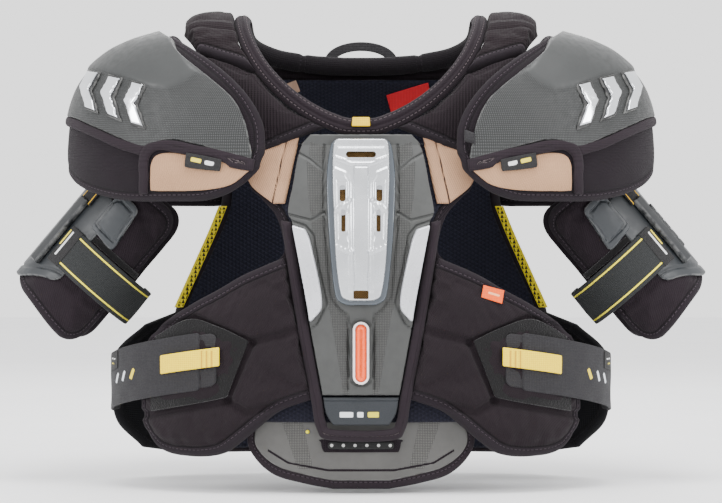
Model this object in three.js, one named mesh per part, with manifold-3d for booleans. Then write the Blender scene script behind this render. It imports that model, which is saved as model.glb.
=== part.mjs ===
// Ice hockey shoulder pads. Millimetres, +Z up, the front faces -Y and the wearer's left is +X.
// The origin is the middle of the neck opening, level with the tops of the wearer's shoulders.
import * as THREE from "three";
import { mergeVertices } from "three/addons/utils/BufferGeometryUtils.js";
import Module from "manifold-3d";

const wasm = await Module();
wasm.setup();

// ---- Overall sizes of the trunk that the pads wrap
const CHEST_HALF = 212; // half the width of the front at the ribs
const BACK_HALF = CHEST_HALF * 1.132; // the back reaches round outside the front
const CHEST_DEPTH = 128; // from the middle of the body to the breast bone
const BACK_DEPTH = 125;
const FRONT_LENGTH = 406; // from the shoulder line to the belly pad's lowest point
const ARCH_HEIGHT = 115; // rise of the shoulder arches above the armpit line
const SQUARENESS = 2.3; // exponent of the trunk's plan curve, 2 being an ellipse

// ---- Wall thicknesses and the gap that every touching pair keeps
const GAP = 1.1;
const LINER = 4;
const CLOTH = 3.6;
const CHEST_FOAM = 10.6;
const RIB_FOAM = 13;
const BINDING = 9.6;
const PLATE = 1.8;
const MESH = 0.8;
const SHELL = 6;
const INSERT = 5;
const WEBBING = 2.2;
const TRIM = 1.2;
const ARCH_PAD = 12;
const BACK_FOAM = 14;
const REAR_FOAM = 8;
const SPINE_GUARD = 9;
const BELLY_FOAM = 8;
const BELLY_FACE = 3.4;
const BELLY_GAP = 1.2; // the belly pad lies this far under the front's liner

// ---- Neck opening
const NECK_HALF = 112;
const NECK_BAND = 15; // width of the front binding
const COLLAR_RADIUS = 8.5;
const FRONT_NECK_SWEEP = 82.9; // degrees from the shoulder top down to the middle of the front
const BACK_NECK_SWEEP = 44.5;
const LOOP_HALF = 33;
const LOOP_RISE = 24;
const LOOP_WIDTH = 9;
const LOOP_BACK = 106.4;
const LOOP_FOOT = -9; // height of the loop's feet
const BAND_UNDER = 1; // depths of the front binding's two faces
const BAND_OVER = 9;
const BAND_END = 0.006; // share of the neckline that the binding leaves at each shoulder top
const ROLL_DEPTH = 5; // depth of the collar roll's middle

// ---- Centre shell and capsule
const SLOT_WALL = 40; // depth of the cutters
const MESH_INSET = 4; // how far the shell covers the mesh's edge at the sides, and at the top
const MESH_DROP = 3;
const VENTS = [
  { across: 0, down: -104, width: 27, height: 5.5 },
  { across: 16.4, down: -139, width: 5.4, height: 14.5 },
  { across: -16.4, down: -139, width: 5.4, height: 14.5 },
  { across: 15.7, down: -163.5, width: 3.6, height: 19.8 },
  { across: -15.7, down: -163.5, width: 3.6, height: 19.8 },
  { across: 0, down: -231, width: 13.6, height: 7 },
];
const CAPSULE = { top: -253.6, length: 56.4, half: 7.4, wall: 1.9 };
const BAR = { down: -365.8, half: 29, height: 6.5, holes: 6, pitch: 10.6, hole: 1.3 };

// ---- Straps
const WAIST_STRAP = 52;
const PULL_TAB = 17;
const TRIM_WIDTH = 8;

// ---- Shoulder cap, a squared dome
const CAP = { inset: 86, reach: 190, depth: 138, backDepth: 152, rise: 131, drop: 60 };
const CAP_MIDDLE = -115; // height of the dome's level line
const CAP_WALL = 11;
const CAP_SKIN = 3.6;
const WIDE_GAP = 1.8; // where the facets are large, as on the domes and the back
const CAP_ROUND_UP = 0.65; // exponents of the dome, 1 being an ellipse
const CAP_ROUND_ALONG = 0.85;
const CAP_CLEAR = 4; // from the shoulder arch to the cap's inner edge
// Degrees round and up the dome.
const CAP_HEM = { fall: 21, quick: 1.6 }; // how far the rim falls, and how quickly
const CAP_EDGE = { foot: 6, bend: 2.2, round: 0.6 }; // the inner edge's least height and curve
const SHELL_FOOT = { least: 2, rise: 11, reach: 80, narrowest: 3 };
const PATCH = { from: -85, to: -60, foot: -14, seam: 1.5 };
const EMBLEM = { from: -58, to: -20, top: 20, topRise: 12, foot: 6.5, footRise: 7.2 };

// ---- Biceps guard, a gutter round the upper arm
const ARM = { out: 195, down: -137, slope: 50, bore: 40, length: 147 };
const ARM_WALL = 10;
const ARM_SHELL = 3.2;
const ARM_WRAP = 140; // degrees that the pad reaches round the arm each way
const SHELL_WRAP = 75;
const SHELL_FROM = 22; // bare pad above and below the shell
const SHELL_SHORT = 9;
const ARM_STRAP = { from: -62, to: -212, middle: 92, width: 38 };
const RAIL = { angle: -39, from: 43, length: 76, half: 4.5, height: 5.5 };
const HANGER = { angle: -39, half: 9, from: -32 };

// The outlines below are one size of pattern. They are graded to the chest as a tailor grades one.
const PATTERN_HALF = 212;
const PATTERN_LENGTH = 406;
const GRADE_X = CHEST_HALF / PATTERN_HALF;
const GRADE_Z = FRONT_LENGTH / PATTERN_LENGTH;
const graded = (outline) => outline.map(([x, z]) => [x * GRADE_X, z * GRADE_Z]);

// Half-widths by height, as [half-width, height].
const LINER_ROWS = graded([[104, -93], [102, -130], [92, -142], [78, -158], [71, -178], [71, -194],
  [88, -206], [112, -218], [148, -236], [168, -250], [180, -264], [184, -300], [182, -345]]);
const FOAM_ROWS = graded([[44, -90], [56, -101], [62, -130], [66.5, -155], [62.5, -166], [56, -200],
  [46.3, -259], [35, -318]]);
const SHELL_ROWS = graded([[24, -90.5], [25.5, -100], [25.8, -123], [24.5, -160], [22.5, -200],
  [18.5, -228], [13.5, -235]]);
const RIM_ROWS = graded([[25.5, -90], [28.5, -100], [31, -125], [30, -160], [27, -200], [23, -230],
  [17, -239]]);
const BADGE_ROWS = graded([[34.6, -321.5], [32, -336], [25.5, -347]]);
const BELLY_ROWS = graded([[70, -305], [95, -333], [105, -358], [100, -376], [81.5, -393],
  [54, -401], [26, -406]]);
const BELLY_FACE_ROWS = graded([[66, -312], [88, -335], [97, -358], [92, -373], [75, -386],
  [50, -393], [26, -398]]);
const LINER_BACK_ROWS = graded([[70, -26], [112, -44], [124, -54], [128, -61.3], [131, -100],
  [130, -144], [150, -195], [173, -247], [177, -300], [172, -385]]);
const BACK_ROWS = graded([[144, -61.3], [142, -100], [142, -144], [162, -195], [186, -247], [187, -300],
  [182, -390]]);
const SPINE_ROWS = graded([[30, -95], [38, -120], [36, -200], [32, -280], [24, -330]]);

// Pairs of edges with a point for a point, drawn for the wearer's left.
const WING_TOP = graded([[74, -198], [91, -205], [110, -213], [131, -225], [152, -236], [175, -250],
  [192, -264], [203, -281]]);
const WING_FOOT = graded([[50, -325], [76, -335], [93, -348], [110, -362], [129, -374],
  [158, -377], [186, -371], [204, -345]]);
const FASTENER_TOP = graded([[101, -271], [127, -259], [156, -252], [188, -268]]);
const FASTENER_FOOT = graded([[121, -322], [143, -327], [166, -331.5], [193, -337]]);
const TAG_TOP = graded([[110, -221], [129, -226]]);
const TAG_FOOT = graded([[108, -232], [127, -238]]);
const INSERT_IN = graded([[50, -171], [44.5, -187], [35, -236], [43, -252]]);
const INSERT_OUT = graded([[62.5, -167], [58, -190], [49, -238], [46.5, -254]]);
const CLOTH_IN = graded([[59, -93.5], [61, -110], [65, -130], [69, -148]]);
const CLOTH_OUT = graded([[104, -93.5], [104, -110], [101, -130], [80, -148]]);
const FRAME_OUT = graded([[74, -163], [67.5, -205], [58.5, -259], [46.5, -322], [41, -350],
  [28, -360.5]]);
const FRAME_IN = graded([[64.5, -164.5], [57.5, -204], [48, -259], [36.5, -320], [32.5, -343],
  [24, -350.5]]);
const REAR_IN = graded([[189, -250], [190, -285], [190, -320], [188, -355], [184, -389]]);
const REAR_OUT = graded([[214, -262], [238, -286], [241, -318], [238, -355], [216, -382]]);
const TRIM_OUT = graded([[142, -146], [152, -171], [163, -196], [174, -221], [185, -246]]);

// A closed piece: a box of cells, each corner sent to its place by at(u, v, w) with all three 0 to 1.
function moulded(cellsAlong, cellsAcross, at) {
  const geometry = new THREE.BoxGeometry(1, 1, 1, cellsAlong, cellsAcross, 1);
  return placed(geometry, (p) => at(p.x + 0.5, p.y + 0.5, p.z + 0.5));
}

// Sends every vertex of a closed geometry through a map, and keeps its faces pointing out.
function placed(source, map) {
  source.deleteAttribute("normal");
  source.deleteAttribute("uv");
  const geometry = mergeVertices(source, 1e-5);
  const points = geometry.attributes.position;
  const p = new THREE.Vector3();
  for (let i = 0; i < points.count; i++) {
    const q = map(p.fromBufferAttribute(points, i));
    points.setXYZ(i, q.x, q.y, q.z);
  }
  if (volume(geometry) < 0) turnFaces(geometry);
  geometry.computeVertexNormals();
  return geometry;
}

function volume(geometry) {
  const { position } = geometry.attributes;
  const index = geometry.index.array;
  const [a, b, c] = [new THREE.Vector3(), new THREE.Vector3(), new THREE.Vector3()];
  let total = 0;
  for (let i = 0; i < index.length; i += 3) {
    a.fromBufferAttribute(position, index[i]);
    b.fromBufferAttribute(position, index[i + 1]);
    c.fromBufferAttribute(position, index[i + 2]);
    total += a.dot(b.cross(c)) / 6;
  }
  return total;
}

function turnFaces(geometry) {
  const index = geometry.index.array;
  for (let i = 0; i < index.length; i += 3) {
    [index[i], index[i + 1]] = [index[i + 1], index[i]];
  }
}

// ---- The trunk surface, unrolled. A point is [x, s]: x across, and s along it from the armpit line
// at the front, over the shoulder, to the back. s is negative down the front.
const ARMPIT = -95;
const OVER = Math.PI * ARCH_HEIGHT; // the length of s from front armpit line to back armpit line
const FRONT_ROUND = 38; // how far the breast bone stands out from the armpit line's depth
const BACK_ROUND = 8;
const FRONT_CURVE = { middle: -220, above: 160, below: 200, tuck: 10 }; // fullest height and falls
const BACK_CURVE = { middle: -200, span: 172 };
const POINT_FALL = { rate: 0.02, from: 145 }; // the shoulder's fall past this half-width

function frontDepth(z) {
  const { middle, above, below, tuck } = FRONT_CURVE;
  const over = Math.max(0, (z / GRADE_Z - middle) / above);
  const under = Math.max(0, (middle - z / GRADE_Z) / below);
  return CHEST_DEPTH - FRONT_ROUND * over ** 2 - tuck * under ** 2;
}

function backDepth(z) {
  const away = (z / GRADE_Z - BACK_CURVE.middle) / BACK_CURVE.span;
  return BACK_DEPTH - BACK_ROUND * away ** 2;
}

function planCurve(share) {
  return Math.max(0, 1 - Math.abs(share) ** SQUARENESS) ** (1 / SQUARENESS);
}

// The point at [x, s], d outside the surface. x is the width seen at the depth `seen`.
function trunk(x, s, d, seen = d) {
  const angle = Math.min(Math.PI, Math.max(0, s / ARCH_HEIGHT));
  const back = (1 - Math.cos(angle)) / 2;
  const half = CHEST_HALF + (BACK_HALF - CHEST_HALF) * back;
  const shoulder = angle > 0 && angle < Math.PI;
  const wide = shoulder ? x : (x * (half + d)) / (half + seen);
  const share = x / (half + seen);
  if (s <= 0) {
    const z = ARMPIT + s;
    return new THREE.Vector3(wide, -(frontDepth(z) + d) * planCurve(share), z);
  }
  if (s >= OVER) {
    const z = ARMPIT - (s - OVER);
    return new THREE.Vector3(wide, (backDepth(z) + d) * planCurve(share), z);
  }
  const depth = angle < Math.PI / 2 ? frontDepth(ARMPIT) : backDepth(ARMPIT);
  const fall = POINT_FALL.rate * Math.max(0, Math.abs(x) / GRADE_X - POINT_FALL.from) ** 2;
  const y = -(depth + d) * Math.cos(angle) * planCurve(share);
  return new THREE.Vector3(x, y, ARMPIT + (ARCH_HEIGHT + d - fall) * Math.sin(angle));
}

// s of a height on the front and on the back.
function frontS(z) {
  return z <= ARMPIT ? z - ARMPIT : ARCH_HEIGHT * Math.asin((z - ARMPIT) / ARCH_HEIGHT);
}
const backS = (z) => OVER - frontS(z);
const onFront = ([x, z]) => [x, frontS(z)];
const onBack = ([x, z]) => [x, backS(z)];

// A piece between two edges with a point for a point, from depth d0 to depth d1 of a surface.
function between(first, second, across, surface, d0, d1) {
  return moulded(first.length - 1, across, (u, v, w) => {
    const i = Math.round(u * (first.length - 1));
    const p = first[i][0] + (second[i][0] - first[i][0]) * v;
    const q = first[i][1] + (second[i][1] - first[i][1]) * v;
    return surface(p, q, d0 + (d1 - d0) * w, d1);
  });
}

// A piece as wide on both sides of the middle line, from its half-widths by height.
function rows(outline, across, toSurface, d0, d1) {
  const left = outline.map(([x, z]) => toSurface([x, z]));
  const right = outline.map(([x, z]) => toSurface([-x, z]));
  return between(left, right, across, trunk, d0, d1);
}

const mirror = (points) => points.map(([x, s]) => [-x, s]);
const step = (count, from, to) =>
  Array.from({ length: count + 1 }, (_, i) => from + ((to - from) * i) / count);
const radians = THREE.MathUtils.degToRad;

// The neck opening's edge as [x, s], moved away from the hole by `off`. t runs from -1 at one shoulder
// top to 1 at the other. side is -1 round the front and 1 round the back.
function neckline(side, t, off) {
  const path = (v) => {
    const drop = 1 - Math.abs(v);
    const reach = side < 0 ? (1 - drop ** 3) ** 0.65 : (1 - drop ** 6) ** 0.5;
    const sweep = side < 0 ? FRONT_NECK_SWEEP : BACK_NECK_SWEEP;
    const s = ARCH_HEIGHT * (Math.PI / 2 + side * radians(sweep) * drop);
    return [Math.sign(v) * NECK_HALF * GRADE_X * reach, s];
  };
  const [before, after] = [path(Math.max(-1, t - 0.01)), path(Math.min(1, t + 0.01))];
  const [dx, ds] = [after[0] - before[0], after[1] - before[1]];
  const length = Math.hypot(dx, ds);
  const [x, s] = path(t);
  return [x - (side * ds * off) / length, s + (side * dx * off) / length];
}

// ---- Assembly
const pads = new THREE.Group();

function add(name, geometry, color, roughness = 0.9, metalness = 0) {
  const material = new THREE.MeshStandardMaterial({ color, roughness, metalness });
  const mesh = new THREE.Mesh(geometry, material);
  mesh.name = name;
  pads.add(mesh);
}

const BLACK = "#2d262c";
const GREY_FOAM = "#50514f";
const SILVER = "#cdcfd2";
const TAN = "#b0927a";
const NAVY = "#20222e";
const YELLOW = "#e8cf3c";
const CAP_GREY = "#484a4a";
const ARM_GREY = "#34383c";
const SIDES = [["left", 1], ["right", -1]];

// Depths of the front's layers, each one gap above the last.
const OVER_LINER = LINER + GAP;
const FOAM_FACE = OVER_LINER + CHEST_FOAM;
const OVER_FOAM = FOAM_FACE + GAP;
const RIB_FACE = OVER_LINER + RIB_FOAM;
const OVER_RIB = RIB_FACE + WIDE_GAP;
const OVER_FASTENER = OVER_RIB + TRIM + GAP;
const OVER_STRAP = OVER_FASTENER + WEBBING + GAP;
const OVER_RIM = OVER_FOAM + PLATE + GAP;
const OVER_MESH = OVER_RIM + MESH + GAP;
const NECK_OFF = Math.max(NECK_BAND / 2, COLLAR_RADIUS - 1) + 1.4 * GAP;
const COLLAR_FIT = COLLAR_RADIUS + 1.5 * GAP;
const ARCH_COLLAR_FIT = COLLAR_RADIUS + 1.6 * GAP;

function front() {
  add("front_liner", rows(LINER_ROWS, 12, onFront, 0, LINER), NAVY);
  add("sternum_foam", rows(FOAM_ROWS, 6, onFront, OVER_LINER, FOAM_FACE), GREY_FOAM, 0.7);
  add("sternum_binding", chestFrame(), BLACK);
  add("badge_panel", rows(BADGE_ROWS, 4, onFront, OVER_LINER, FOAM_FACE), "#3a3e42", 0.6);
  for (const [word, side] of SIDES) {
    const flip = side > 0 ? (e) => e.map(onFront) : (e) => mirror(e.map(onFront));
    const piece = (a, b, across, d0, d1) => between(flip(a), flip(b), across, trunk, d0, d1);
    add(`chest_cloth_${word}`, piece(CLOTH_IN, CLOTH_OUT, 3, OVER_LINER, OVER_LINER + CLOTH), TAN);
    add(`front_wing_${word}`, piece(WING_TOP, WING_FOOT, 5, OVER_LINER, RIB_FACE), BLACK);
    const field = piece(FASTENER_TOP, FASTENER_FOOT, 3, OVER_RIB, OVER_RIB + TRIM);
    add(`wing_fastener_${word}`, field, "#191619", 1);
    const insert = piece(INSERT_IN, INSERT_OUT, 1, OVER_FOAM, OVER_FOAM + INSERT);
    add(`side_insert_${word}`, insert, "#c8c9cd", 0.35, 0.3);
    add(`waist_strap_${word}`, waistStrap(side), "#26242e");
    add(`strap_tab_${word}`, strapTab(side), YELLOW, 0.7);
    if (side > 0) {
      const tag = piece(TAG_TOP, TAG_FOOT, 1, OVER_RIB, OVER_RIB + TRIM);
      add("size_tag", tag, "#f0822d", 0.7);
    }
  }
}

// The V-shaped frame round the chest foam: down one side, across the foot and up the other.
function chestFrame() {
  const outer = FRAME_OUT.map(onFront);
  const inner = FRAME_IN.map(onFront);
  const both = (edge) => [...edge, ...mirror(edge).reverse()];
  return between(both(outer), both(inner), 1, trunk, OVER_LINER, OVER_LINER + BINDING);
}

// A point of the belt line: angle 90 is the middle of the front, 0 the side and below 0 the back.
function belt(side) {
  return (angle, z, d) => {
    const cos = Math.cos(radians(angle)) ** (2 / SQUARENESS);
    const sin = Math.abs(Math.sin(radians(angle))) ** (2 / SQUARENESS);
    const depth = (frontDepth(z) + d) * sin * Math.sign(angle || 1);
    return new THREE.Vector3(side * (CHEST_HALF + d) * cos, -depth, z);
  };
}

const STRAP_LINE = { from: 55, to: -10, height: -290, fall: 26, tabFrom: 61, tabTo: 43 };
const STRAP_ANGLES = step(13, STRAP_LINE.from, STRAP_LINE.to);
const strapMiddle = (angle) => {
  const share = 1 - Math.max(0, angle) / STRAP_LINE.from;
  return (STRAP_LINE.height - STRAP_LINE.fall * share) * GRADE_Z;
};

function waistStrap(side) {
  const edge = (sign) => STRAP_ANGLES.map((a) => [a, strapMiddle(a) + (sign * WAIST_STRAP) / 2]);
  return between(edge(1), edge(-1), 2, belt(side), OVER_FASTENER, OVER_FASTENER + WEBBING);
}

function strapTab(side) {
  const angles = step(4, STRAP_LINE.tabFrom, STRAP_LINE.tabTo);
  const edge = (sign) => angles.map((a) => [a, strapMiddle(a) + (sign * PULL_TAB) / 2]);
  return between(edge(1), edge(-1), 1, belt(side), OVER_STRAP, OVER_STRAP + PLATE);
}

// A closed geometry as a manifold solid, and back.
function solid(geometry) {
  return new wasm.Manifold(new wasm.Mesh({
    numProp: 3,
    vertProperties: new Float32Array(geometry.attributes.position.array),
    triVerts: new Uint32Array(geometry.index.array),
  }));
}

function fromSolid(manifold) {
  const mesh = manifold.getMesh();
  const geometry = new THREE.BufferGeometry();
  geometry.setAttribute("position", new THREE.BufferAttribute(mesh.vertProperties, 3));
  geometry.setIndex(new THREE.BufferAttribute(mesh.triVerts, 1));
  geometry.computeVertexNormals();
  return geometry;
}

function sternum() {
  add("sternum_rim", rows(RIM_ROWS, 4, onFront, OVER_FOAM, OVER_FOAM + PLATE), "#828c96", 0.3);
  const mesh = SHELL_ROWS.map(([x, z], i) => [x - MESH_INSET, i === 0 ? z - MESH_DROP : z + 1]);
  add("sternum_mesh", rows(mesh, 4, onFront, OVER_RIM, OVER_RIM + MESH), "#6b5a35", 0.6, 0.5);
  let shell = solid(rows(SHELL_ROWS, 6, onFront, OVER_MESH, OVER_MESH + SHELL));
  for (const vent of VENTS) {
    const cutter = new THREE.BoxGeometry(vent.width, SLOT_WALL, vent.height);
    const z = vent.down * GRADE_Z;
    const y = -(frontDepth(z) + OVER_MESH);
    shell = shell.subtract(solid(placed(cutter, (p) => p.add(new THREE.Vector3(vent.across, y, z)))));
  }
  add("sternum_shell", fromSolid(shell), SILVER, 0.3, 0.4);
  const { top, length, half, wall } = CAPSULE;
  const middle = top * GRADE_Z - length / 2;
  const ring = stadium(half, length / 2);
  ring.holes.push(stadium(half - wall, length / 2 - wall));
  const core = stadium(half - wall - GAP, length / 2 - wall - GAP);
  add("capsule_ring", capsulePiece(ring, INSERT, middle), "#ebe6e6", 0.4);
  add("capsule_core", capsulePiece(core, INSERT - 1, middle), "#f0822d", 0.35);
}

// An upright slot with round ends.
function stadium(half, halfLength) {
  const shape = new THREE.Shape();
  const straight = halfLength - half;
  shape.absarc(0, straight, half, 0, Math.PI, false);
  shape.absarc(0, -straight, half, Math.PI, 2 * Math.PI, false);
  shape.closePath();
  return shape;
}

function capsulePiece(shape, height, middle) {
  const flat = new THREE.ExtrudeGeometry(shape, { depth: 1, bevelEnabled: false, curveSegments: 7 });
  return placed(flat, (p) => trunk(p.x, frontS(p.y + middle), OVER_FOAM + height * p.z));
}

function belly() {
  const face = -BELLY_GAP;
  const back = face - BELLY_FACE;
  add("belly_panel", rows(BELLY_FACE_ROWS, 8, onFront, back, face), "#696964", 0.7);
  add("belly_pad", rows(BELLY_ROWS, 8, onFront, back - GAP - BELLY_FOAM, back - GAP), BLACK);
  const shape = new THREE.Shape();
  shape.moveTo(-BAR.half, -BAR.height / 2);
  shape.lineTo(BAR.half, -BAR.height / 2);
  shape.lineTo(BAR.half, BAR.height / 2);
  shape.lineTo(-BAR.half, BAR.height / 2);
  shape.closePath();
  for (let i = 0; i < BAR.holes; i++) {
    const hole = new THREE.Path();
    hole.absarc((i - (BAR.holes - 1) / 2) * BAR.pitch, 0, BAR.hole, 0, 2 * Math.PI, true);
    shape.holes.push(hole);
  }
  const bar = new THREE.ExtrudeGeometry(shape, { depth: 1, bevelEnabled: false, curveSegments: 8 });
  const middle = BAR.down * GRADE_Z;
  const seat = face + 2 * GAP;
  add("belly_bar", placed(bar, (p) => {
    return trunk(p.x, frontS(p.y + middle), seat + PLATE * p.z);
  }), "#1c1c1c", 0.5);
}

// Width of the shoulder pads' outer edge at an angle over the shoulder, 90 being the top.
const ARCH_OUTER = 168;
const ARCH_AHEAD = { draw: 60, span: 82 }; // how far the edge draws in, over these degrees
const ARCH_BEHIND = { draw: 20, span: 48 };
const archEdge = (angle) => {
  const { draw, span } = angle < 90 ? ARCH_AHEAD : ARCH_BEHIND;
  const away = draw * ((angle - 90) / span) ** 2;
  return [(ARCH_OUTER - away) * GRADE_X, ARCH_HEIGHT * radians(angle)];
};
const CLAVICLE_TOP = { t: 0.34, angle: 44 };
const CLAVICLE_FOOT = { t: 0.085, angle: 2 };
const ARCH_BACK = { t: 0.42, angle: 118 };
const SEAM = 1.2; // degrees left between two pads at a seam
const SEAM_SHARE = 0.015; // the same gap as a share of the neckline

function shoulders() {
  const neckFront = step(5, CLAVICLE_TOP.t, CLAVICLE_FOOT.t).map((t) => neckline(-1, t, NECK_OFF));
  const outFront = step(5, CLAVICLE_TOP.angle, CLAVICLE_FOOT.angle).map(archEdge);
  const startT = CLAVICLE_TOP.t + SEAM_SHARE;
  const neckTop = [
    ...step(5, startT, 1).map((t) => neckline(-1, t, NECK_OFF)),
    ...step(3, 0.9, ARCH_BACK.t).map((t) => neckline(1, t, ARCH_COLLAR_FIT)),
  ];
  const outTop = step(9, CLAVICLE_TOP.angle + SEAM, ARCH_BACK.angle).map(archEdge);
  for (const [word, side] of SIDES) {
    const flip = side > 0 ? (edge) => edge : mirror;
    const clavicle = between(flip(neckFront), flip(outFront), 4, trunk, 0, ARCH_PAD);
    add(`clavicle_pad_${word}`, clavicle, "#332c32");
    const arch = between(flip(neckTop), flip(outTop), 4, trunk, 0, ARCH_PAD);
    add(`shoulder_arch_${word}`, arch, BLACK);
  }
}

function neck() {
  const ends = 1 - BAND_END;
  const samples = step(28, -ends, ends);
  const edge = (off) => samples.map((t) => neckline(-1, t, off));
  const [inner, outer] = [edge(-NECK_BAND / 2), edge(NECK_BAND / 2)];
  add("neck_binding", between(inner, outer, 1, trunk, BAND_UNDER, BAND_OVER), BLACK);
  const roll = new THREE.CylinderGeometry(1, 1, 1, 10, 24);
  const rollEnds = 1 - 2 * BAND_END;
  add("collar_roll", placed(roll, (p) => {
    const t = Math.max(-rollEnds, Math.min(rollEnds, 2 * p.y * rollEnds));
    const [x, s] = neckline(1, t, p.x * COLLAR_RADIUS);
    return trunk(x, s, ROLL_DEPTH + p.z * COLLAR_RADIUS);
  }), BLACK);
  const turns = step(12, 0, Math.PI);
  const bow = (half, rise) => turns.map((a) => [-half * Math.cos(a), rise * Math.sin(a) ** 0.7]);
  const upright = (x, z, d) => new THREE.Vector3(x, LOOP_BACK + d, z + LOOP_FOOT);
  const over = bow(LOOP_HALF + LOOP_WIDTH / 2, LOOP_RISE + LOOP_WIDTH / 2);
  const under = bow(LOOP_HALF - LOOP_WIDTH / 2, LOOP_RISE - LOOP_WIDTH / 2);
  add("hanging_loop", between(over, under, 1, upright, 0, WEBBING), BLACK);
}

const COLLAR_STEEP = 2.2; // how much more room the roll needs where its line turns up
const YOKE_FOOT = { height: -60, half: 144 };

// s of the collar roll's lower side at a distance across the back.
function collarFoot(x) {
  const share = Math.abs(x) / (NECK_HALF * GRADE_X);
  const drop = (1 - share ** 2) ** (1 / 6);
  const steep = 1 + COLLAR_STEEP * share ** 6;
  return ARCH_HEIGHT * (Math.PI / 2 + radians(BACK_NECK_SWEEP) * drop) + COLLAR_FIT * steep;
}

function back() {
  const hemHalf = NECK_HALF * GRADE_X - GAP;
  const [outX, outS] = archEdge(ARCH_BACK.angle + SEAM);
  const hem = step(12, -hemHalf, hemHalf).map((x) => [x, Math.max(outS, collarFoot(x))]);
  const top = [[-outX, outS], ...hem, [outX, outS]];
  const footS = backS(YOKE_FOOT.height * GRADE_Z);
  const corner = YOKE_FOOT.half * GRADE_X;
  const foot = top.map(([x]) => [Math.abs(x) === outX ? Math.sign(x) * corner : x, footS]);
  add("back_yoke", between(top, foot, 5, trunk, 0, BACK_FOAM), BLACK);
  add("back_panel", rows(BACK_ROWS, 12, onBack, 0, BACK_FOAM), BLACK);
  add("back_liner", rows(LINER_BACK_ROWS, 12, onBack, -WIDE_GAP - LINER, -WIDE_GAP), NAVY);
  const flatY = BACK_DEPTH + BACK_FOAM + GAP + SPINE_GUARD;
  const seat = BACK_FOAM + GAP;
  const guardOut = SPINE_ROWS.map(onBack);
  const flatFace = (x, s, d) => {
    const p = trunk(x, s, seat);
    return d > 0.5 ? p.setY(flatY) : p;
  };
  add("spine_guard", between(guardOut, mirror(guardOut), 4, flatFace, 0, 1), "#3c3e42", 0.6);
  for (const [word, side] of SIDES) {
    const flip = side > 0 ? (e) => e.map(onBack) : (e) => mirror(e.map(onBack));
    const wing = between(flip(REAR_IN), flip(REAR_OUT), 4, trunk, 0, REAR_FOAM);
    add(`rear_wing_${word}`, wing, "#14141a");
    const inside = TRIM_OUT.map(([x, z]) => [x - TRIM_WIDTH, z]);
    const trim = between(flip(TRIM_OUT), flip(inside), 1, trunk, -GAP - LINER, -GAP);
    add(`armhole_trim_${word}`, trim, YELLOW, 0.7);
  }
}

// ---- Shoulder caps. A point is [along, up] in degrees: along -90 is the front's inner edge, 0 the
// outer side and 90 the back's inner edge, and up runs from the rim to the dome's crown.
const power = (value, exponent) => Math.sign(value) * Math.abs(value) ** exponent;

function cap(side) {
  return (along, up, d) => {
    const [a, u] = [radians(along), radians(up)];
    const girth = power(Math.cos(u), CAP_ROUND_UP);
    const out = (CAP.reach * GRADE_X + d) * girth * power(Math.cos(a), CAP_ROUND_ALONG);
    const depth = along < 0 ? CAP.depth : CAP.backDepth;
    const y = (depth + d) * girth * power(Math.sin(a), CAP_ROUND_ALONG);
    const height = (up > 0 ? CAP.rise + d : CAP.drop) * power(Math.sin(u), CAP_ROUND_UP);
    return new THREE.Vector3(side * (CAP.inset * GRADE_X + out), y, height + CAP_MIDDLE);
  };
}

// Height in degrees where the cap's upper inner edge, its rim and the foot of its shell run.
const capInner = (along) => {
  const share = (ARCH_OUTER * GRADE_X + CAP_CLEAR - CAP.inset * GRADE_X) / (CAP.reach * GRADE_X);
  const crown = THREE.MathUtils.radToDeg(Math.acos(share ** (1 / CAP_ROUND_UP)));
  const { foot, bend, round } = CAP_EDGE;
  return foot + (crown - foot) * (1 - (Math.abs(along) / 90) ** bend) ** round;
};
const capRim = (along) => {
  const turn = Math.min(90, Math.abs(along) * CAP_HEM.quick);
  return -CAP_HEM.fall * Math.sin(radians(turn)) ** 2;
};
const shellFoot = (along) => SHELL_FOOT.least + SHELL_FOOT.rise * Math.cos(radians(along)) ** 3;

function caps() {
  const around = step(18, -90, 90);
  const inset = step(16, -SHELL_FOOT.reach, SHELL_FOOT.reach);
  const edge = (angles, height) => angles.map((a) => [a, height(a)]);
  const skinIn = WIDE_GAP;
  const skinOut = WIDE_GAP + CAP_SKIN;
  for (const [word, side] of SIDES) {
    const on = cap(side);
    const pad = between(edge(around, capRim), edge(around, capInner), 8, on, -CAP_WALL, 0);
    add(`cap_pad_${word}`, pad, BLACK);
    const { narrowest } = SHELL_FOOT;
    const topAt = (a) => Math.max(shellFoot(a) + narrowest, capInner(a) - narrowest);
    const shellTop = edge(inset, topAt);
    const shell = between(edge(inset, shellFoot), shellTop, 5, on, skinIn, skinOut);
    add(`cap_shell_${word}`, shell, CAP_GREY, 0.55);
    const patchAlong = step(5, PATCH.from, PATCH.to);
    const patchTop = edge(patchAlong, (a) => shellFoot(a) - PATCH.seam);
    const patchFoot = edge(patchAlong, () => PATCH.foot);
    const patch = between(patchTop, patchFoot, 2, on, skinIn, skinIn + PLATE);
    add(`cap_patch_${word}`, patch, TAN);
    const marks = step(4, EMBLEM.from, EMBLEM.to);
    const over = skinOut + GAP;
    const share = (a) => (a - EMBLEM.from) / (EMBLEM.to - EMBLEM.from);
    const high = edge(marks, (a) => EMBLEM.top + EMBLEM.topRise * share(a));
    const low = edge(marks, (a) => EMBLEM.foot + EMBLEM.footRise * share(a));
    const emblem = between(high, low, 2, on, over, over + PLATE);
    add(`cap_emblem_${word}`, emblem, SILVER, 0.2, 0.8);
  }
}

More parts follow.
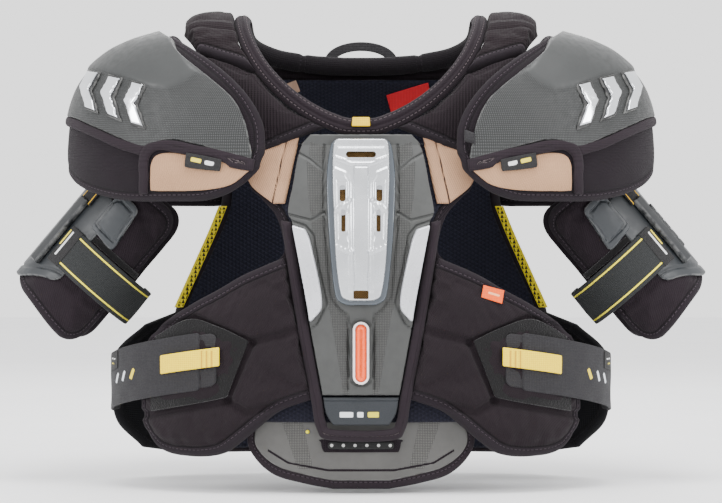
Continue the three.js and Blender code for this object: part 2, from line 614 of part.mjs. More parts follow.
// ---- Biceps guards. A point is [angle, t]: angle round the arm from its outer side, in degrees with
// the front negative, and t down the arm.
function arm(side) {
  const slope = radians(ARM.slope);
  const axis = new THREE.Vector3(side * Math.cos(slope), 0, -Math.sin(slope));
  const outward = new THREE.Vector3(side * Math.sin(slope), 0, Math.cos(slope));
  const start = new THREE.Vector3(side * ARM.out * GRADE_X, 0, ARM.down * GRADE_Z);
  return (angle, t, d) => {
    const radius = ARM.bore + d;
    return start.clone()
      .addScaledVector(axis, t)
      .addScaledVector(outward, radius * Math.cos(radians(angle)))
      .setY(radius * Math.sin(radians(angle)));
  };
}

function arms() {
  const ring = (angles, t) => angles.map((a) => [a, t]);
  const overPad = ARM_WALL + GAP;
  const overShell = overPad + ARM_SHELL + GAP;
  for (const [word, side] of SIDES) {
    const on = arm(side);
    const piece = (angles, t0, t1, across, d0, d1) =>
      between(ring(angles, t0), ring(angles, t1), across, on, d0, d1);
    const wrap = step(16, -ARM_WRAP, ARM_WRAP);
    add(`arm_pad_${word}`, piece(wrap, 0, ARM.length, 2, 0, ARM_WALL), BLACK);
    const hard = step(10, -SHELL_WRAP, SHELL_WRAP);
    const shellEnd = ARM.length - SHELL_SHORT;
    const shell = piece(hard, SHELL_FROM, shellEnd, 2, overPad, overPad + ARM_SHELL);
    add(`arm_shell_${word}`, shell, ARM_GREY, 0.5);
    const rail = [RAIL.angle - RAIL.half, RAIL.angle + RAIL.half];
    const railFoot = RAIL.from + RAIL.length;
    const bar = piece(rail, RAIL.from, railFoot, 1, overShell, overShell + RAIL.height);
    add(`arm_rail_${word}`, bar, "#24262a", 0.5);
    const tape = step(3, HANGER.angle - HANGER.half, HANGER.angle + HANGER.half);
    const hanger = piece(tape, HANGER.from, RAIL.from - GAP, 2, overShell, overShell + WEBBING);
    add(`arm_hanger_${word}`, hanger, BLACK);
    const band = step(14, ARM_STRAP.from, ARM_STRAP.to);
    const [t0, t1] = [-1, 1].map((end) => ARM_STRAP.middle + (end * ARM_STRAP.width) / 2);
    const strap = piece(band, t0, t1, 1, overShell, overShell + WEBBING);
    add(`arm_strap_${word}`, strap, "#262a2b");
  }
}

front();
sternum();
belly();
shoulders();
neck();
back();
caps();
arms();

export default pads;
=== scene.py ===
"""Ice hockey shoulder pads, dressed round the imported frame.

Every sub-assembly is a class. Its fields are its sizes in millimetres, and its methods lay out its
pieces and dress them. A piece is a patch of an unrolled surface: the trunk, the belt line, the cap's
squared dome, the arm's gutter, an upright sheet or the flat spine plate.
"""

import logging
import math
from dataclasses import dataclass, field
from enum import Enum
from typing import Callable, Dict, List, Optional, Sequence, Tuple, Union

import bpy
import numpy as np
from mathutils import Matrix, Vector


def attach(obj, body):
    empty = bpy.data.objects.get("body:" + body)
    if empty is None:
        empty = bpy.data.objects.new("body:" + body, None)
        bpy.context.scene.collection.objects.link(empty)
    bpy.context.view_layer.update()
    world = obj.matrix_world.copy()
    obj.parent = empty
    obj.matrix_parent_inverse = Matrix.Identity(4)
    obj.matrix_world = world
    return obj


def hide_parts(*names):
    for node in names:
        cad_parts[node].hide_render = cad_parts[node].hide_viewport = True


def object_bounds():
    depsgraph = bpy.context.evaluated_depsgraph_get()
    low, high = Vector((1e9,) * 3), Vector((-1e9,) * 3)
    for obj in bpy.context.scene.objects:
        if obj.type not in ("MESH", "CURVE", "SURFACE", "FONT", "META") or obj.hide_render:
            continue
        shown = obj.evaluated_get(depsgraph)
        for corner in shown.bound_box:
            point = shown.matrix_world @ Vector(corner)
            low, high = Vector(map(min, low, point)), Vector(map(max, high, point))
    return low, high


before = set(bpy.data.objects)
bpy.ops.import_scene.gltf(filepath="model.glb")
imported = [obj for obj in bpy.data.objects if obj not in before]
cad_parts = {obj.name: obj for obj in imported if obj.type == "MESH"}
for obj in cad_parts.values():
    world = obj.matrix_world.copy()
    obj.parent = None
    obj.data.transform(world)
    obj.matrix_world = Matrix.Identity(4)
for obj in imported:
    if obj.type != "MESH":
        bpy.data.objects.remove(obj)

CAD_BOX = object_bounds()
LOG = logging.getLogger("shoulder_pads")

Array = np.ndarray
Pair = Tuple[float, float]
Outline = Union[Array, Sequence[Pair]]
Colour = Tuple[int, int, int]
Value = Union[float, bpy.types.NodeSocket]

MM = 0.001
SIDES = (("left", 1), ("right", -1))
CHUNK = 4096  # points measured against a line at a time
DOME_UP = 0.65  # powers that square the cap's dome upwards and round
DOME_ROUND = 0.85
RIB_DEGREE = 2.9  # length of a degree round the ribs
GUARD_FACE = 12.0  # height of the guard's face over the arm's bore
SETTLE_CELLS = (44, 30)  # cells of the coarse copy that the cloth settles on
SETTLE_FRAMES = 20
SETTLE_MOST = 3.5  # furthest that the cloth may move
CROWN_REACH = 9.0  # distance in which a crown rises

# Depths of the layers, each a gap above the one under it.
GAP = 1.1
LINER = 4.0
OVER_LINER = LINER + GAP
FOAM_FACE = OVER_LINER + 10.6
OVER_FOAM = FOAM_FACE + GAP
RIB_FACE = OVER_LINER + 13.0
OVER_RIB = RIB_FACE + 1.8
OVER_FASTENER = OVER_RIB + 1.2 + GAP
OVER_STRAP = OVER_FASTENER + 2.2 + GAP
OVER_RIM = OVER_FOAM + 1.8 + GAP
OVER_MESH = OVER_RIM + 0.8 + GAP


class Edge(Enum):
    """How a piece's outline is finished."""

    BOUND = "a sewn binding tape folded over the edge"
    ROLLED = "cloth rolled round a soft edge"
    MOULDED = "a small moulded radius"
    CUT = "a thin cut edge"


class Weave(Enum):
    """The face of a cloth."""

    KNIT = "fine knitted face"
    TWILL = "steep diagonal ribs"
    CORDED = "wide upright ribs"
    HEX = "six-sided open mesh"
    ELASTIC = "ribs across a woven elastic"
    PILE = "brushed loops"


# ---------------------------------------------------------------- surfaces


@dataclass(frozen=True)
class Surface:
    """A part of the body unrolled to two coordinates.

    Args:
        side: 1 for the wearer's left and -1 for the right.
    """

    side: int = 1

    def place(self, p: Array, q: Array, d: Array, seen: float) -> Array:
        """Returns points in millimetres, d outside the surface."""
        raise NotImplementedError

    def plane(self, p: Array, q: Array) -> Array:
        """Returns flat coordinates in millimetres, in which outlines of relief are drawn."""
        return np.stack([p, q], -1)

    def cloth(self, p: Array, q: Array) -> Array:
        """Returns the coordinates in millimetres that a weave follows."""
        return self.plane(p, q)


@dataclass(frozen=True)
class Trunk(Surface):
    """The trunk, as across and along. Along runs from the front's armpit line over the shoulder to
    the back, and is negative down the front."""

    chest_half: float = 212.0
    back_half: float = 240.0
    chest_depth: float = 128.0
    back_depth: float = 125.0
    arch: float = 115.0
    armpit: float = -95.0
    square: float = 2.3
    breast: float = -220.0
    upper_span: float = 160.0
    upper_fall: float = 38.0
    lower_span: float = 200.0
    lower_fall: float = 10.0
    blades: float = -200.0
    blade_span: float = 172.0
    blade_fall: float = 8.0
    slope_from: float = 145.0
    slope_rate: float = 0.02

    def front_depth(self, z: Array) -> Array:
        """Depth of the front: less by a square law above the breast bone, and a little below it."""
        above = np.clip((z - self.breast) / self.upper_span, 0, None)
        below = np.clip((self.breast - z) / self.lower_span, 0, None)
        return self.chest_depth - self.upper_fall * above**2 - self.lower_fall * below**2

    def rear_depth(self, z: Array) -> Array:
        """Depth of the back: less by a square law away from the shoulder blades."""
        return self.back_depth - self.blade_fall * ((z - self.blades) / self.blade_span) ** 2

    def place(self, p: Array, q: Array, d: Array, seen: float) -> Array:
        """The plan is a squared ellipse. The front and the back are upright, and between them the
        surface turns half a circle over the shoulder and falls off towards the arm."""
        over = math.pi * self.arch
        angle = np.clip(q / self.arch, 0, math.pi)
        half = self.chest_half + (self.back_half - self.chest_half) * (1 - np.cos(angle)) / 2
        share = np.abs(p / (half + seen))
        plan = np.clip(1 - share**self.square, 0, None) ** (1 / self.square)
        wide = p * (half + d) / (half + seen)
        z_front = self.armpit + q
        z_back = self.armpit - (q - over)
        top = np.where(angle < math.pi / 2, self.front_depth(self.armpit), self.rear_depth(self.armpit))
        fall = self.slope_rate * np.clip(np.abs(p) - self.slope_from, 0, None) ** 2
        over_y = -(top + d) * np.cos(angle) * plan
        over_z = self.armpit + (self.arch + d - fall) * np.sin(angle)
        ahead, behind = q <= 0, q >= over
        x = np.where(ahead | behind, wide, p)
        y = np.where(ahead, -(self.front_depth(z_front) + d) * plan, over_y)
        y = np.where(behind, (self.rear_depth(z_back) + d) * plan, y)
        z = np.where(ahead, z_front, np.where(behind, z_back, over_z))
        return np.stack([x, y, z], -1)

    def front(self, outline: Outline) -> Array:
        """Returns across and along of points given as across and height on the front."""
        points = np.array(outline, float)
        rise = np.clip((points[:, 1] - self.armpit) / self.arch, 0, 1)
        along = np.where(points[:, 1] <= self.armpit, points[:, 1] - self.armpit, self.arch * np.arcsin(rise))
        return np.stack([points[:, 0], along], -1)

    def back(self, outline: Outline) -> Array:
        """Returns across and along of points given as across and height on the back."""
        points = self.front(outline)
        points[:, 1] = math.pi * self.arch - points[:, 1]
        return points


@dataclass(frozen=True)
class Belt(Surface):
    """The trunk's side, as an angle and a height: 90 is the middle of the front and 0 the side."""

    def place(self, p: Array, q: Array, d: Array, seen: float) -> Array:
        """Cosine and sine of the angle, both to two over the squareness, give width and depth."""
        trunk = Trunk()
        a = np.radians(p)
        x = self.side * (trunk.chest_half + d) * np.cos(a) ** (2 / trunk.square)
        depth = (trunk.front_depth(q) + d) * np.abs(np.sin(a)) ** (2 / trunk.square)
        return np.stack([x, -depth * np.sign(np.sin(a)), q], -1)

    def plane(self, p: Array, q: Array) -> Array:
        """An angle is turned to a length at the radius of the ribs."""
        return np.stack([p * RIB_DEGREE, q], -1)


@dataclass(frozen=True)
class Dome(Surface):
    """The shoulder cap, as along and up in degrees: along -90 is the front's inner edge, 0 the
    outer side and 90 the back's inner edge, and up runs from the rim to the crown."""

    inset: float = 86.0
    reach: float = 190.0
    depth: float = 138.0
    back_depth: float = 152.0
    rise: float = 131.0
    drop: float = 60.0
    middle: float = -115.0

    def place(self, p: Array, q: Array, d: Array, seen: float) -> Array:
        """A squared dome: the cosine of up, to 0.65, is the girth, and the cosine and sine of along,
        to 0.85, share it between outward and depth."""
        a, u = np.radians(p), np.radians(q)
        girth = np.clip(np.cos(u), 0, None) ** DOME_UP
        out = (self.reach + d) * girth * np.clip(np.cos(a), 0, None) ** DOME_ROUND
        depth = np.where(p < 0, self.depth, self.back_depth)
        y = (depth + d) * girth * np.sign(a) * np.abs(np.sin(a)) ** DOME_ROUND
        height = np.where(u > 0, self.rise + d, self.drop) * np.sign(u) * np.abs(np.sin(u)) ** DOME_UP
        return np.stack([self.side * (self.inset + out), y, height + self.middle], -1)

    def plane(self, p: Array, q: Array) -> Array:
        """Relief is drawn as seen from the front: width from the middle and height."""
        seen = self.place(p, q, np.zeros_like(p), 0.0)
        return np.stack([np.abs(seen[..., 0]), seen[..., 2]], -1)

    def cloth(self, p: Array, q: Array) -> Array:
        """Degrees become lengths round the dome, narrowing to the crown."""
        narrow = np.clip(np.cos(np.radians(q)), 0.15, 1) ** DOME_UP
        return np.stack([p * 2.75 * narrow, q * 2.2], -1)

    def find(self, across: float, height: float, front: bool = True) -> Pair:
        """Returns along and up of the point seen at a width and a height, by a search of the dome."""
        p, q = np.meshgrid(np.linspace(-90, 0, 181), np.linspace(-40, 80, 241))
        seen = self.plane(p, q)
        best = np.argmin((seen[..., 0] - across) ** 2 + (seen[..., 1] - height) ** 2)
        along = float(p.flat[best])
        return (along if front else -along, float(q.flat[best]))


@dataclass(frozen=True)
class Gutter(Surface):
    """The upper arm, as the angle round it from its outer side and the length down it."""

    out: float = 195.0
    down: float = -137.0
    slope: float = 50.0
    bore: float = 40.0

    def place(self, p: Array, q: Array, d: Array, seen: float) -> Array:
        """A circle of the bore's radius and the depth, carried down a straight sloping axis."""
        slope = math.radians(self.slope)
        axis = np.array([self.side * math.cos(slope), 0, -math.sin(slope)])
        outward = np.array([self.side * math.sin(slope), 0, math.cos(slope)])
        start = np.array([self.side * self.out, 0, self.down])
        radius = (self.bore + d)[..., None]
        a = np.radians(p)[..., None]
        lateral = np.array([0.0, 1.0, 0.0])
        return start + q[..., None] * axis + radius * (np.cos(a) * outward + np.sin(a) * lateral)

    def plane(self, p: Array, q: Array) -> Array:
        """An angle becomes a length at the radius of the guard's face."""
        return np.stack([np.radians(p) * (self.bore + GUARD_FACE), q], -1)


TRUNK = Trunk()


# ---------------------------------------------------------------- shape helpers


def spline(points: Array, u: Array) -> Array:
    """Catmull-Rom curve through the points, one span to a step of u.

    Args:
        points: the key points, one a row.
        u: places from 0 to 1.

    Returns:
        The points of the curve.
    """
    count = len(points) - 1
    if count < 2:
        return points[0] + (points[-1] - points[0]) * u[:, None]
    ends = np.vstack([2 * points[0] - points[1], points, 2 * points[-1] - points[-2]])
    at = np.clip(u * count, 0, count - 1e-9)
    i = at.astype(int)
    t = (at - i)[:, None]
    a, b, c, e = ends[i], ends[i + 1], ends[i + 2], ends[i + 3]
    return 0.5 * (2 * b + (c - a) * t + (2 * a - 5 * b + 4 * c - e) * t**2 + (3 * b - 3 * c + e - a) * t**3)


def eased(count: int, tightness: float) -> Array:
    """Places from 0 to 1 that crowd towards both ends: t less a share of its own sine wave."""
    t = np.linspace(0, 1, count + 1)
    return t - tightness * np.sin(2 * math.pi * t) / (2 * math.pi)


def smooth(low: float, high: float, value: Array) -> Array:
    """Smooth step: 0 below low, 1 above high, and three squares less two cubes between."""
    t = np.clip((value - low) / (high - low), 0, 1)
    return t * t * (3 - 2 * t)


def nearest(points: Array, line: Array, closed: bool = False) -> Tuple[Array, Array]:
    """Distance from points to a polyline, and the length along it at the nearest place.

    Each point is dropped onto every segment, and the shortest drop is kept.

    Args:
        points: the points, one a row.
        line: the polyline's points, one a row.
        closed: whether the last point joins the first.

    Returns:
        The distances and the lengths along.
    """
    a = line if closed else line[:-1]
    b = np.roll(line, -1, axis=0) if closed else line[1:]
    span = b - a
    size = np.maximum((span**2).sum(-1), 1e-12)
    run = np.concatenate([[0], np.cumsum(np.sqrt(size))])[:-1]
    best, along = np.empty(len(points)), np.empty(len(points))
    for start in range(0, len(points), CHUNK):
        chunk = points[start : start + CHUNK]
        t = np.clip(((chunk[:, None] - a) * span).sum(-1) / size, 0, 1)
        gap = np.linalg.norm(chunk[:, None] - (a + t[..., None] * span), axis=-1)
        pick = gap.argmin(-1)
        row = np.arange(len(chunk))
        best[start : start + CHUNK] = gap[row, pick]
        along[start : start + CHUNK] = run[pick] + t[row, pick] * np.sqrt(size[pick])
    return best, along


def depth_in(points: Array, polygon: Outline) -> Array:
    """Signed distance to a polygon's outline, above 0 inside it.

    Args:
        points: flat points, one a row.
        polygon: the corners in order.

    Returns:
        The signed distances in millimetres.
    """
    corners = np.array(polygon, float)
    gap, _ = nearest(points, corners, closed=True)
    nxt = np.roll(corners, -1, axis=0)
    x, y = points[:, :1], points[:, 1:]
    crosses = (corners[:, 1] > y) != (nxt[:, 1] > y)
    rise = np.where(nxt[:, 1] == corners[:, 1], 1e-9, nxt[:, 1] - corners[:, 1])
    left = x < (nxt[:, 0] - corners[:, 0]) * (y - corners[:, 1]) / rise + corners[:, 0]
    inside = (crosses & left).sum(-1) % 2 == 1
    return np.where(inside, gap, -gap)


def mirrored(outline: Outline) -> List[Pair]:
    """Returns the outline on the other side of the middle line."""
    return [(-x, z) for x, z in outline]


def grid_quads(index: Array) -> Array:
    """Returns the four corners of every cell of a grid of vertex numbers."""
    return np.stack([index[:-1, :-1], index[1:, :-1], index[1:, 1:], index[:-1, 1:]], -1).reshape(-1, 4)


def tube_quads(loops: int, size: int, closed: bool) -> Array:
    """The quads between loops of points, each joined to the next.

    Args:
        loops: how many loops there are.
        size: points in each loop.
        closed: whether the last loop joins the first; otherwise strips close both ends.

    Returns:
        The quads.
    """
    i, j = np.meshgrid(np.arange(loops if closed else loops - 1), np.arange(size), indexing="ij")
    far, turn = (i + 1) % loops, (j + 1) % size
    quads = np.stack([i * size + j, i * size + turn, far * size + turn, far * size + j], -1).reshape(-1, 4)
    if not closed:
        k = np.arange(1, size // 2)
        for base in (0, (loops - 1) * size):
            strip = np.stack([base + k - 1, base + k, base + size - 1 - k, base + (size - k) % size], -1)
            quads = np.vstack([quads, strip if base == 0 else strip[:, ::-1]])
    return quads


def circle(x: float, z: float, radius: float, count: int) -> Array:
    """Returns points round a circle by the cosine and sine of even turns."""
    turn = np.linspace(0, 2 * math.pi, count, endpoint=False)
    return np.stack([x + radius * np.cos(turn), z + radius * np.sin(turn)], -1)


def mesh_object(name: str, verts: Array, faces: Array, smooth_faces: bool = True) -> bpy.types.Object:
    """Makes an object from whole arrays, with its faces turned outwards.

    The faces are turned round where the volume, the sum of each corner's triple product, is below 0.

    Args:
        name: the object's name.
        verts: points in metres, one a row.
        faces: quads or triangles, one a row.
        smooth_faces: whether the faces shade smoothly.

    Returns:
        The object, linked to the scene.
    """
    size = faces.shape[1]
    a, b, c = verts[faces[:, 0]], verts[faces[:, 1]], verts[faces[:, 2]]
    volume = np.einsum("ij,ij->i", a, np.cross(b, c)).sum()
    if size == 4:
        volume += np.einsum("ij,ij->i", a, np.cross(c, verts[faces[:, 3]])).sum()
    if volume < 0:
        faces = faces[:, ::-1]
    mesh = bpy.data.meshes.new(name)
    mesh.vertices.add(len(verts))
    mesh.vertices.foreach_set("co", verts.astype(np.float32).ravel())
    mesh.loops.add(faces.size)
    mesh.loops.foreach_set("vertex_index", faces.astype(np.int32).ravel())
    mesh.polygons.add(len(faces))
    mesh.polygons.foreach_set("loop_start", np.arange(0, faces.size, size, dtype=np.int32))
    mesh.update(calc_edges=True)
    mesh.validate()
    mesh.polygons.foreach_set("use_smooth", np.full(len(mesh.polygons), smooth_faces))
    made = bpy.data.objects.new(name, mesh)
    bpy.context.scene.collection.objects.link(made)
    return made


def write_uv(made: bpy.types.Object, name: str, values: Array) -> None:
    """Writes a UV map from a value for each vertex.

    Args:
        made: the object.
        name: the UV map's name.
        values: two numbers for each vertex.
    """
    mesh = made.data
    corner = np.empty(len(mesh.loops), np.int32)
    mesh.loops.foreach_get("vertex_index", corner)
    layer = mesh.uv_layers.new(name=name)
    layer.data.foreach_set("uv", values[corner].astype(np.float32).ravel())


@dataclass
class Groove:
    """A sunk line across a piece, or a raised one where its depth is below 0.

    Args:
        line: its points in the surface's flat coordinates.
        depth: how far it is sunk.
        width: its width at half its depth.
    """

    line: Outline
    depth: float = 1.0
    width: float = 2.0


@dataclass
class Relief:
    """A flat area raised or sunk inside a polygon, with sloping sides.

    Args:
        area: its corners in the surface's flat coordinates.
        height: how far it stands out.
        slope: the width of its sides.
    """

    area: Outline
    height: float = 1.0
    slope: float = 1.5


SETTLED: Dict[str, Array] = {}


@dataclass
class Patch:
    """A closed piece of a surface between two edges, given point for point.

    Its two faces meet in a rounded outline, so that it has no open side.

    Args:
        name: the piece's name.
        surface: the surface it lies on.
        first: points of the first edge in the surface's coordinates.
        second: points of the second edge.
        inner: depth of its hidden face.
        outer: depth of its shown face.
        cells: cells along the edges and between them.
        edge: how the outline is finished.
        corner: radius of its corners as it lies flat.
        band: width of the binding.
        crown: how far the middle stands proud of the outline.
        grooves: sunk lines.
        reliefs: raised areas.
        zones: named areas that a finish reads, each a list of polygons.
        pressure: pressure inside it while the cloth settles, or 0 for none.
        bare: sides with no binding, of start, end, first and second.
        bumps: height of the hand-made unevenness.
        two_faced: whether the hidden face is shaped as the shown one is.
    """

    name: str
    surface: Surface
    first: Array
    second: Array
    inner: float
    outer: float
    cells: Tuple[int, int] = (60, 40)
    edge: Edge = Edge.BOUND
    corner: float = 0.0
    band: float = 9.0
    crown: float = 1.0
    grooves: List[Groove] = field(default_factory=list)
    reliefs: List[Relief] = field(default_factory=list)
    zones: Dict[str, List[Outline]] = field(default_factory=dict)
    pressure: float = 0.0
    bare: Tuple[str, ...] = ()
    bumps: float = 0.15
    two_faced: bool = False

    def grid(self, cells: Tuple[int, int]) -> Array:
        """Surface coordinates of the cells' corners.

        Between the two splined edges the places are shared evenly, and near both ends the row is
        drawn in by a circle's sagitta to round the corners.

        Args:
            cells: cells along the edges and between them.

        Returns:
            The coordinates, as rows by columns by two.
        """
        tight = 0.55 if self.edge is Edge.CUT else 0.7
        u, v = eased(cells[0], tight), eased(cells[1], tight)
        a, b = spline(np.array(self.first, float), u), spline(np.array(self.second, float), u)
        if self.corner > 0:
            flat_a = self.surface.plane(a[:, 0], a[:, 1])
            flat_b = self.surface.plane(b[:, 0], b[:, 1])
            middle = (flat_a + flat_b) / 2
            run = np.concatenate([[0], np.cumsum(np.linalg.norm(np.diff(middle, axis=0), axis=-1))])
            near = np.minimum(run, run[-1] - run)
            width = np.linalg.norm(flat_a - flat_b, axis=-1)
            radius = min(self.corner, 0.48 * float(width.min()), 0.48 * float(run[-1]))
            into = np.clip(radius - near, 0, radius)
            draw = ((radius - np.sqrt(radius**2 - into**2)) / width)[:, None]
            a, b = a + (b - a) * draw, b + (a - b) * draw
        return a[:, None] + (b - a)[:, None] * v[None, :, None]

    def outline(self, rows: int, columns: int) -> Tuple[Array, Array]:
        """Indices of the grid's outline in order, and whether each has a finished edge."""
        i, j = np.arange(rows), np.arange(columns)
        loops = {
            "first": i[:-1] * columns,
            "end": (rows - 1) * columns + j[:-1],
            "second": i[::-1][:-1] * columns + columns - 1,
            "start": j[::-1][:-1],
        }
        ring = np.concatenate(list(loops.values()))
        shown = np.concatenate([np.full(len(loop), side not in self.bare) for side, loop in loops.items()])
        return ring, shown

    def radius(self) -> float:
        """Returns the radius that the outline is rounded to."""
        half = (self.outer - self.inner) / 2
        return {
            Edge.BOUND: min(half, 4.5),
            Edge.ROLLED: half * 1.3,
            Edge.MOULDED: min(half, 1.6),
            Edge.CUT: min(half, 0.7),
        }[self.edge]

    def height(self, e: Array, flat: Array) -> Array:
        """How far the shown face stands off its depth.

        The middle rises from the binding towards the crown by one less a falling exponential, a
        bell-shaped valley marks the binding's inner side, and grooves and reliefs are added.

        Args:
            e: distance from the outline.
            flat: flat coordinates.

        Returns:
            The heights in millimetres.
        """
        rise = np.zeros(len(e))
        if self.edge is Edge.BOUND:
            inside = np.clip(e - self.band, 0, None)
            rise += self.crown * (1 - np.exp(-inside / CROWN_REACH))
            rise -= 1.1 * np.exp(-(((e - self.band) / 1.0) ** 2))
            rise -= 0.35 * np.exp(-(((e - self.band + 2.6) / 0.7) ** 2))
        elif self.edge is Edge.ROLLED:
            rise += self.crown * (1 - np.exp(-e / 10))
        for groove in self.grooves:
            gap, _ = nearest(flat, np.array(groove.line, float))
            side = max(0.6, groove.width * 0.45)
            rise -= groove.depth * (1 - smooth(groove.width / 2 - side / 2, groove.width / 2 + side, gap))
        for relief in self.reliefs:
            rise += relief.height * smooth(-relief.slope / 2, relief.slope / 2, depth_in(flat, relief.area))
        wave = np.sin(flat[:, 0] * 0.21 + 1.3) * np.sin(flat[:, 1] * 0.17 + 0.4)
        wave += 0.6 * np.sin(flat[:, 0] * 0.083 - flat[:, 1] * 0.11)
        return rise + self.bumps * wave

    def faces(self, cells: Tuple[int, int]) -> Array:
        """The quads of both faces, the hidden one sharing the shown one's outline.

        Args:
            cells: cells along the edges and between them.

        Returns:
            The quads.
        """
        rows, columns = cells[0] + 1, cells[1] + 1
        shown = np.arange(rows * columns).reshape(rows, columns)
        hidden = shown.copy()
        inside = hidden[1:-1, 1:-1]
        hidden[1:-1, 1:-1] = rows * columns + np.arange(inside.size).reshape(inside.shape)
        return np.vstack([grid_quads(shown), grid_quads(hidden)[:, ::-1]])

    def points(self, cells: Tuple[int, int], detailed: bool) -> Tuple[Array, Array, Array, Array]:
        """Works out both faces.

        Args:
            cells: cells along the edges and between them.
            detailed: whether grooves, relief and binding are worked in.

        Returns:
            The vertices in millimetres, and for each corner of the grid its distance from the
            outline, its length along it and its flat coordinates.
        """
        grid = self.grid(cells)
        p, q = grid[..., 0].ravel(), grid[..., 1].ravel()
        middle = (self.inner + self.outer) / 2
        rest = self.surface.place(p, q, np.full(len(p), middle), self.outer)
        ring, shown = self.outline(cells[0] + 1, cells[1] + 1)
        edge_all, along = nearest(rest, rest[ring], closed=True)
        flat = self.surface.plane(p, q)
        bound = edge_all
        if not shown.all():
            bound, along = self.from_shown(rest, ring, shown)
        round_off = np.sqrt(np.clip(1 - (1 - np.clip(edge_all / self.radius(), 0, 1)) ** 2, 0, 1))
        rise = self.height(bound, flat) if detailed else self.crown * (1 - np.exp(-edge_all / CROWN_REACH))
        top = middle + (self.outer + rise - middle) * round_off
        low = middle + (self.inner - (rise if self.two_faced else 0) - middle) * round_off
        upper = self.surface.place(p, q, top, self.outer)
        lower = self.surface.place(p, q, low, self.outer)
        rows, columns = cells[0] + 1, cells[1] + 1
        inside = np.zeros((rows, columns), bool)
        inside[1:-1, 1:-1] = True
        return np.vstack([upper, lower[inside.ravel()]]), bound, along, flat

    def from_shown(self, rest: Array, ring: Array, shown: Array) -> Tuple[Array, Array]:
        """Distance from, and length along, only the sides that have a finished edge."""
        start = int(np.argmin(shown))
        order = np.roll(ring, -start)
        keep = np.roll(shown, -start)
        stops = np.flatnonzero(np.diff(np.concatenate([[False], keep, [False]]).astype(int)))
        best, along, run = np.full(len(rest), 1e3), np.zeros(len(rest)), 0.0
        for first, last in zip(stops[::2], stops[1::2]):
            line = rest[np.take(order, np.arange(first, last + 1), mode="wrap")]
            gap, at = nearest(rest, line)
            closer = gap < best
            best, along = np.where(closer, gap, best), np.where(closer, at + run, along)
            run += float(np.linalg.norm(np.diff(line, axis=0), axis=-1).sum())
        return best, along

    def settled(self, key: str) -> Array:
        """Lets the cloth swell and settle on a coarse copy, and returns how far each corner moves.

        The binding and the sunk lines are held, as stitches hold them. The other side's twin takes
        the mirror image of the same movement.

        Args:
            key: the name that both sides share.

        Returns:
            The movement in millimetres, as rows by columns by three.
        """
        if key in SETTLED:
            return SETTLED[key]
        cells = (min(SETTLE_CELLS[0], self.cells[0]), min(SETTLE_CELLS[1], self.cells[1]))
        verts, e, _, flat = self.points(cells, detailed=False)
        quads = self.faces(cells)
        trial = mesh_object("settling", verts * MM, quads)
        count = (cells[0] + 1) * (cells[1] + 1)
        hold = 1 - smooth(self.band * 0.8, self.band + 6, e)
        for groove in self.grooves:
            gap, _ = nearest(flat, np.array(groove.line, float))
            hold = np.maximum(hold, 1 - smooth(groove.width * 0.5, groove.width + 4, gap))
        held = trial.vertex_groups.new(name="held")
        weights = np.concatenate([hold, np.ones(len(verts) - count)])
        for level in np.unique(np.round(weights, 1)):
            chosen = np.flatnonzero(np.round(weights, 1) == level)
            held.add(chosen.tolist(), float(level), "REPLACE")
        cloth = trial.modifiers.new("cloth", "CLOTH")
        cloth.settings.quality = 4
        cloth.settings.mass = 0.3
        cloth.settings.use_pressure = True
        cloth.settings.uniform_pressure_force = self.pressure
        cloth.settings.shrink_min = -0.02
        cloth.settings.tension_stiffness = 12
        cloth.settings.compression_stiffness = 12
        cloth.settings.bending_stiffness = 0.4
        cloth.settings.vertex_group_mass = "held"
        cloth.settings.effector_weights.gravity = 0
        cloth.collision_settings.use_collision = False
        cloth.point_cache.frame_start = 1
        cloth.point_cache.frame_end = SETTLE_FRAMES
        scene = bpy.context.scene
        for number in range(1, SETTLE_FRAMES + 1):
            scene.frame_set(number)
        result = trial.evaluated_get(bpy.context.evaluated_depsgraph_get()).to_mesh()
        after = np.empty(len(verts) * 3, np.float32)
        result.vertices.foreach_get("co", after)
        moved = after.reshape(-1, 3)[:count] / MM - verts[:count]
        scene.frame_set(1)
        bpy.data.objects.remove(trial)
        size = np.linalg.norm(moved, axis=-1, keepdims=True)
        moved *= np.minimum(1, SETTLE_MOST / np.maximum(size, 1e-6))
        moved *= (smooth(0, self.band, e) * (1 - hold * 0.7))[:, None]
        SETTLED[key] = moved.reshape(cells[0] + 1, cells[1] + 1, 3)
        return SETTLED[key]

    def build(self) -> bpy.types.Object:
        """Makes the piece, with its two UV maps and its zones.

        Returns:
            The object.
        """
        verts, e, along, flat = self.points(self.cells, detailed=True)
        quads = self.faces(self.cells)
        rows, columns = self.cells[0] + 1, self.cells[1] + 1
        count = rows * columns
        if self.pressure > 0:
            key = self.name.replace("_left", "").replace("_right", "")
            move = self.settled(key)
            turn = np.array([-1.0 if self.name.endswith("_right") else 1.0, 1.0, 1.0])
            i = np.linspace(0, move.shape[0] - 1, rows)
            j = np.linspace(0, move.shape[1] - 1, columns)
            i0, j0 = np.minimum(i.astype(int), move.shape[0] - 2), np.minimum(j.astype(int),
                move.shape[1] - 2)
            fi, fj = (i - i0)[:, None, None], (j - j0)[None, :, None]
            near = move[i0][:, j0] * (1 - fi) + move[i0 + 1][:, j0] * fi
            far = move[i0][:, j0 + 1] * (1 - fi) + move[i0 + 1][:, j0 + 1] * fi
            verts[:count] += (near * (1 - fj) + far * fj).reshape(-1, 3) * turn
        made = mesh_object(self.name, verts * MM, quads)
        grid = self.grid(self.cells)
        weave = self.surface.cloth(grid[..., 0].ravel(), grid[..., 1].ravel())
        source = np.concatenate([np.arange(count), np.arange(count).reshape(rows, columns)[1:-1,
            1:-1].ravel()])
        write_uv(made, "cloth", weave[source] * MM)
        write_uv(made, "edge", np.stack([along, e], -1)[source] * MM)
        hidden_face = np.arange(len(source)) >= count
        for zone, polygons in self.zones.items():
            level = np.max([depth_in(flat, polygon) for polygon in polygons], axis=0)[source]
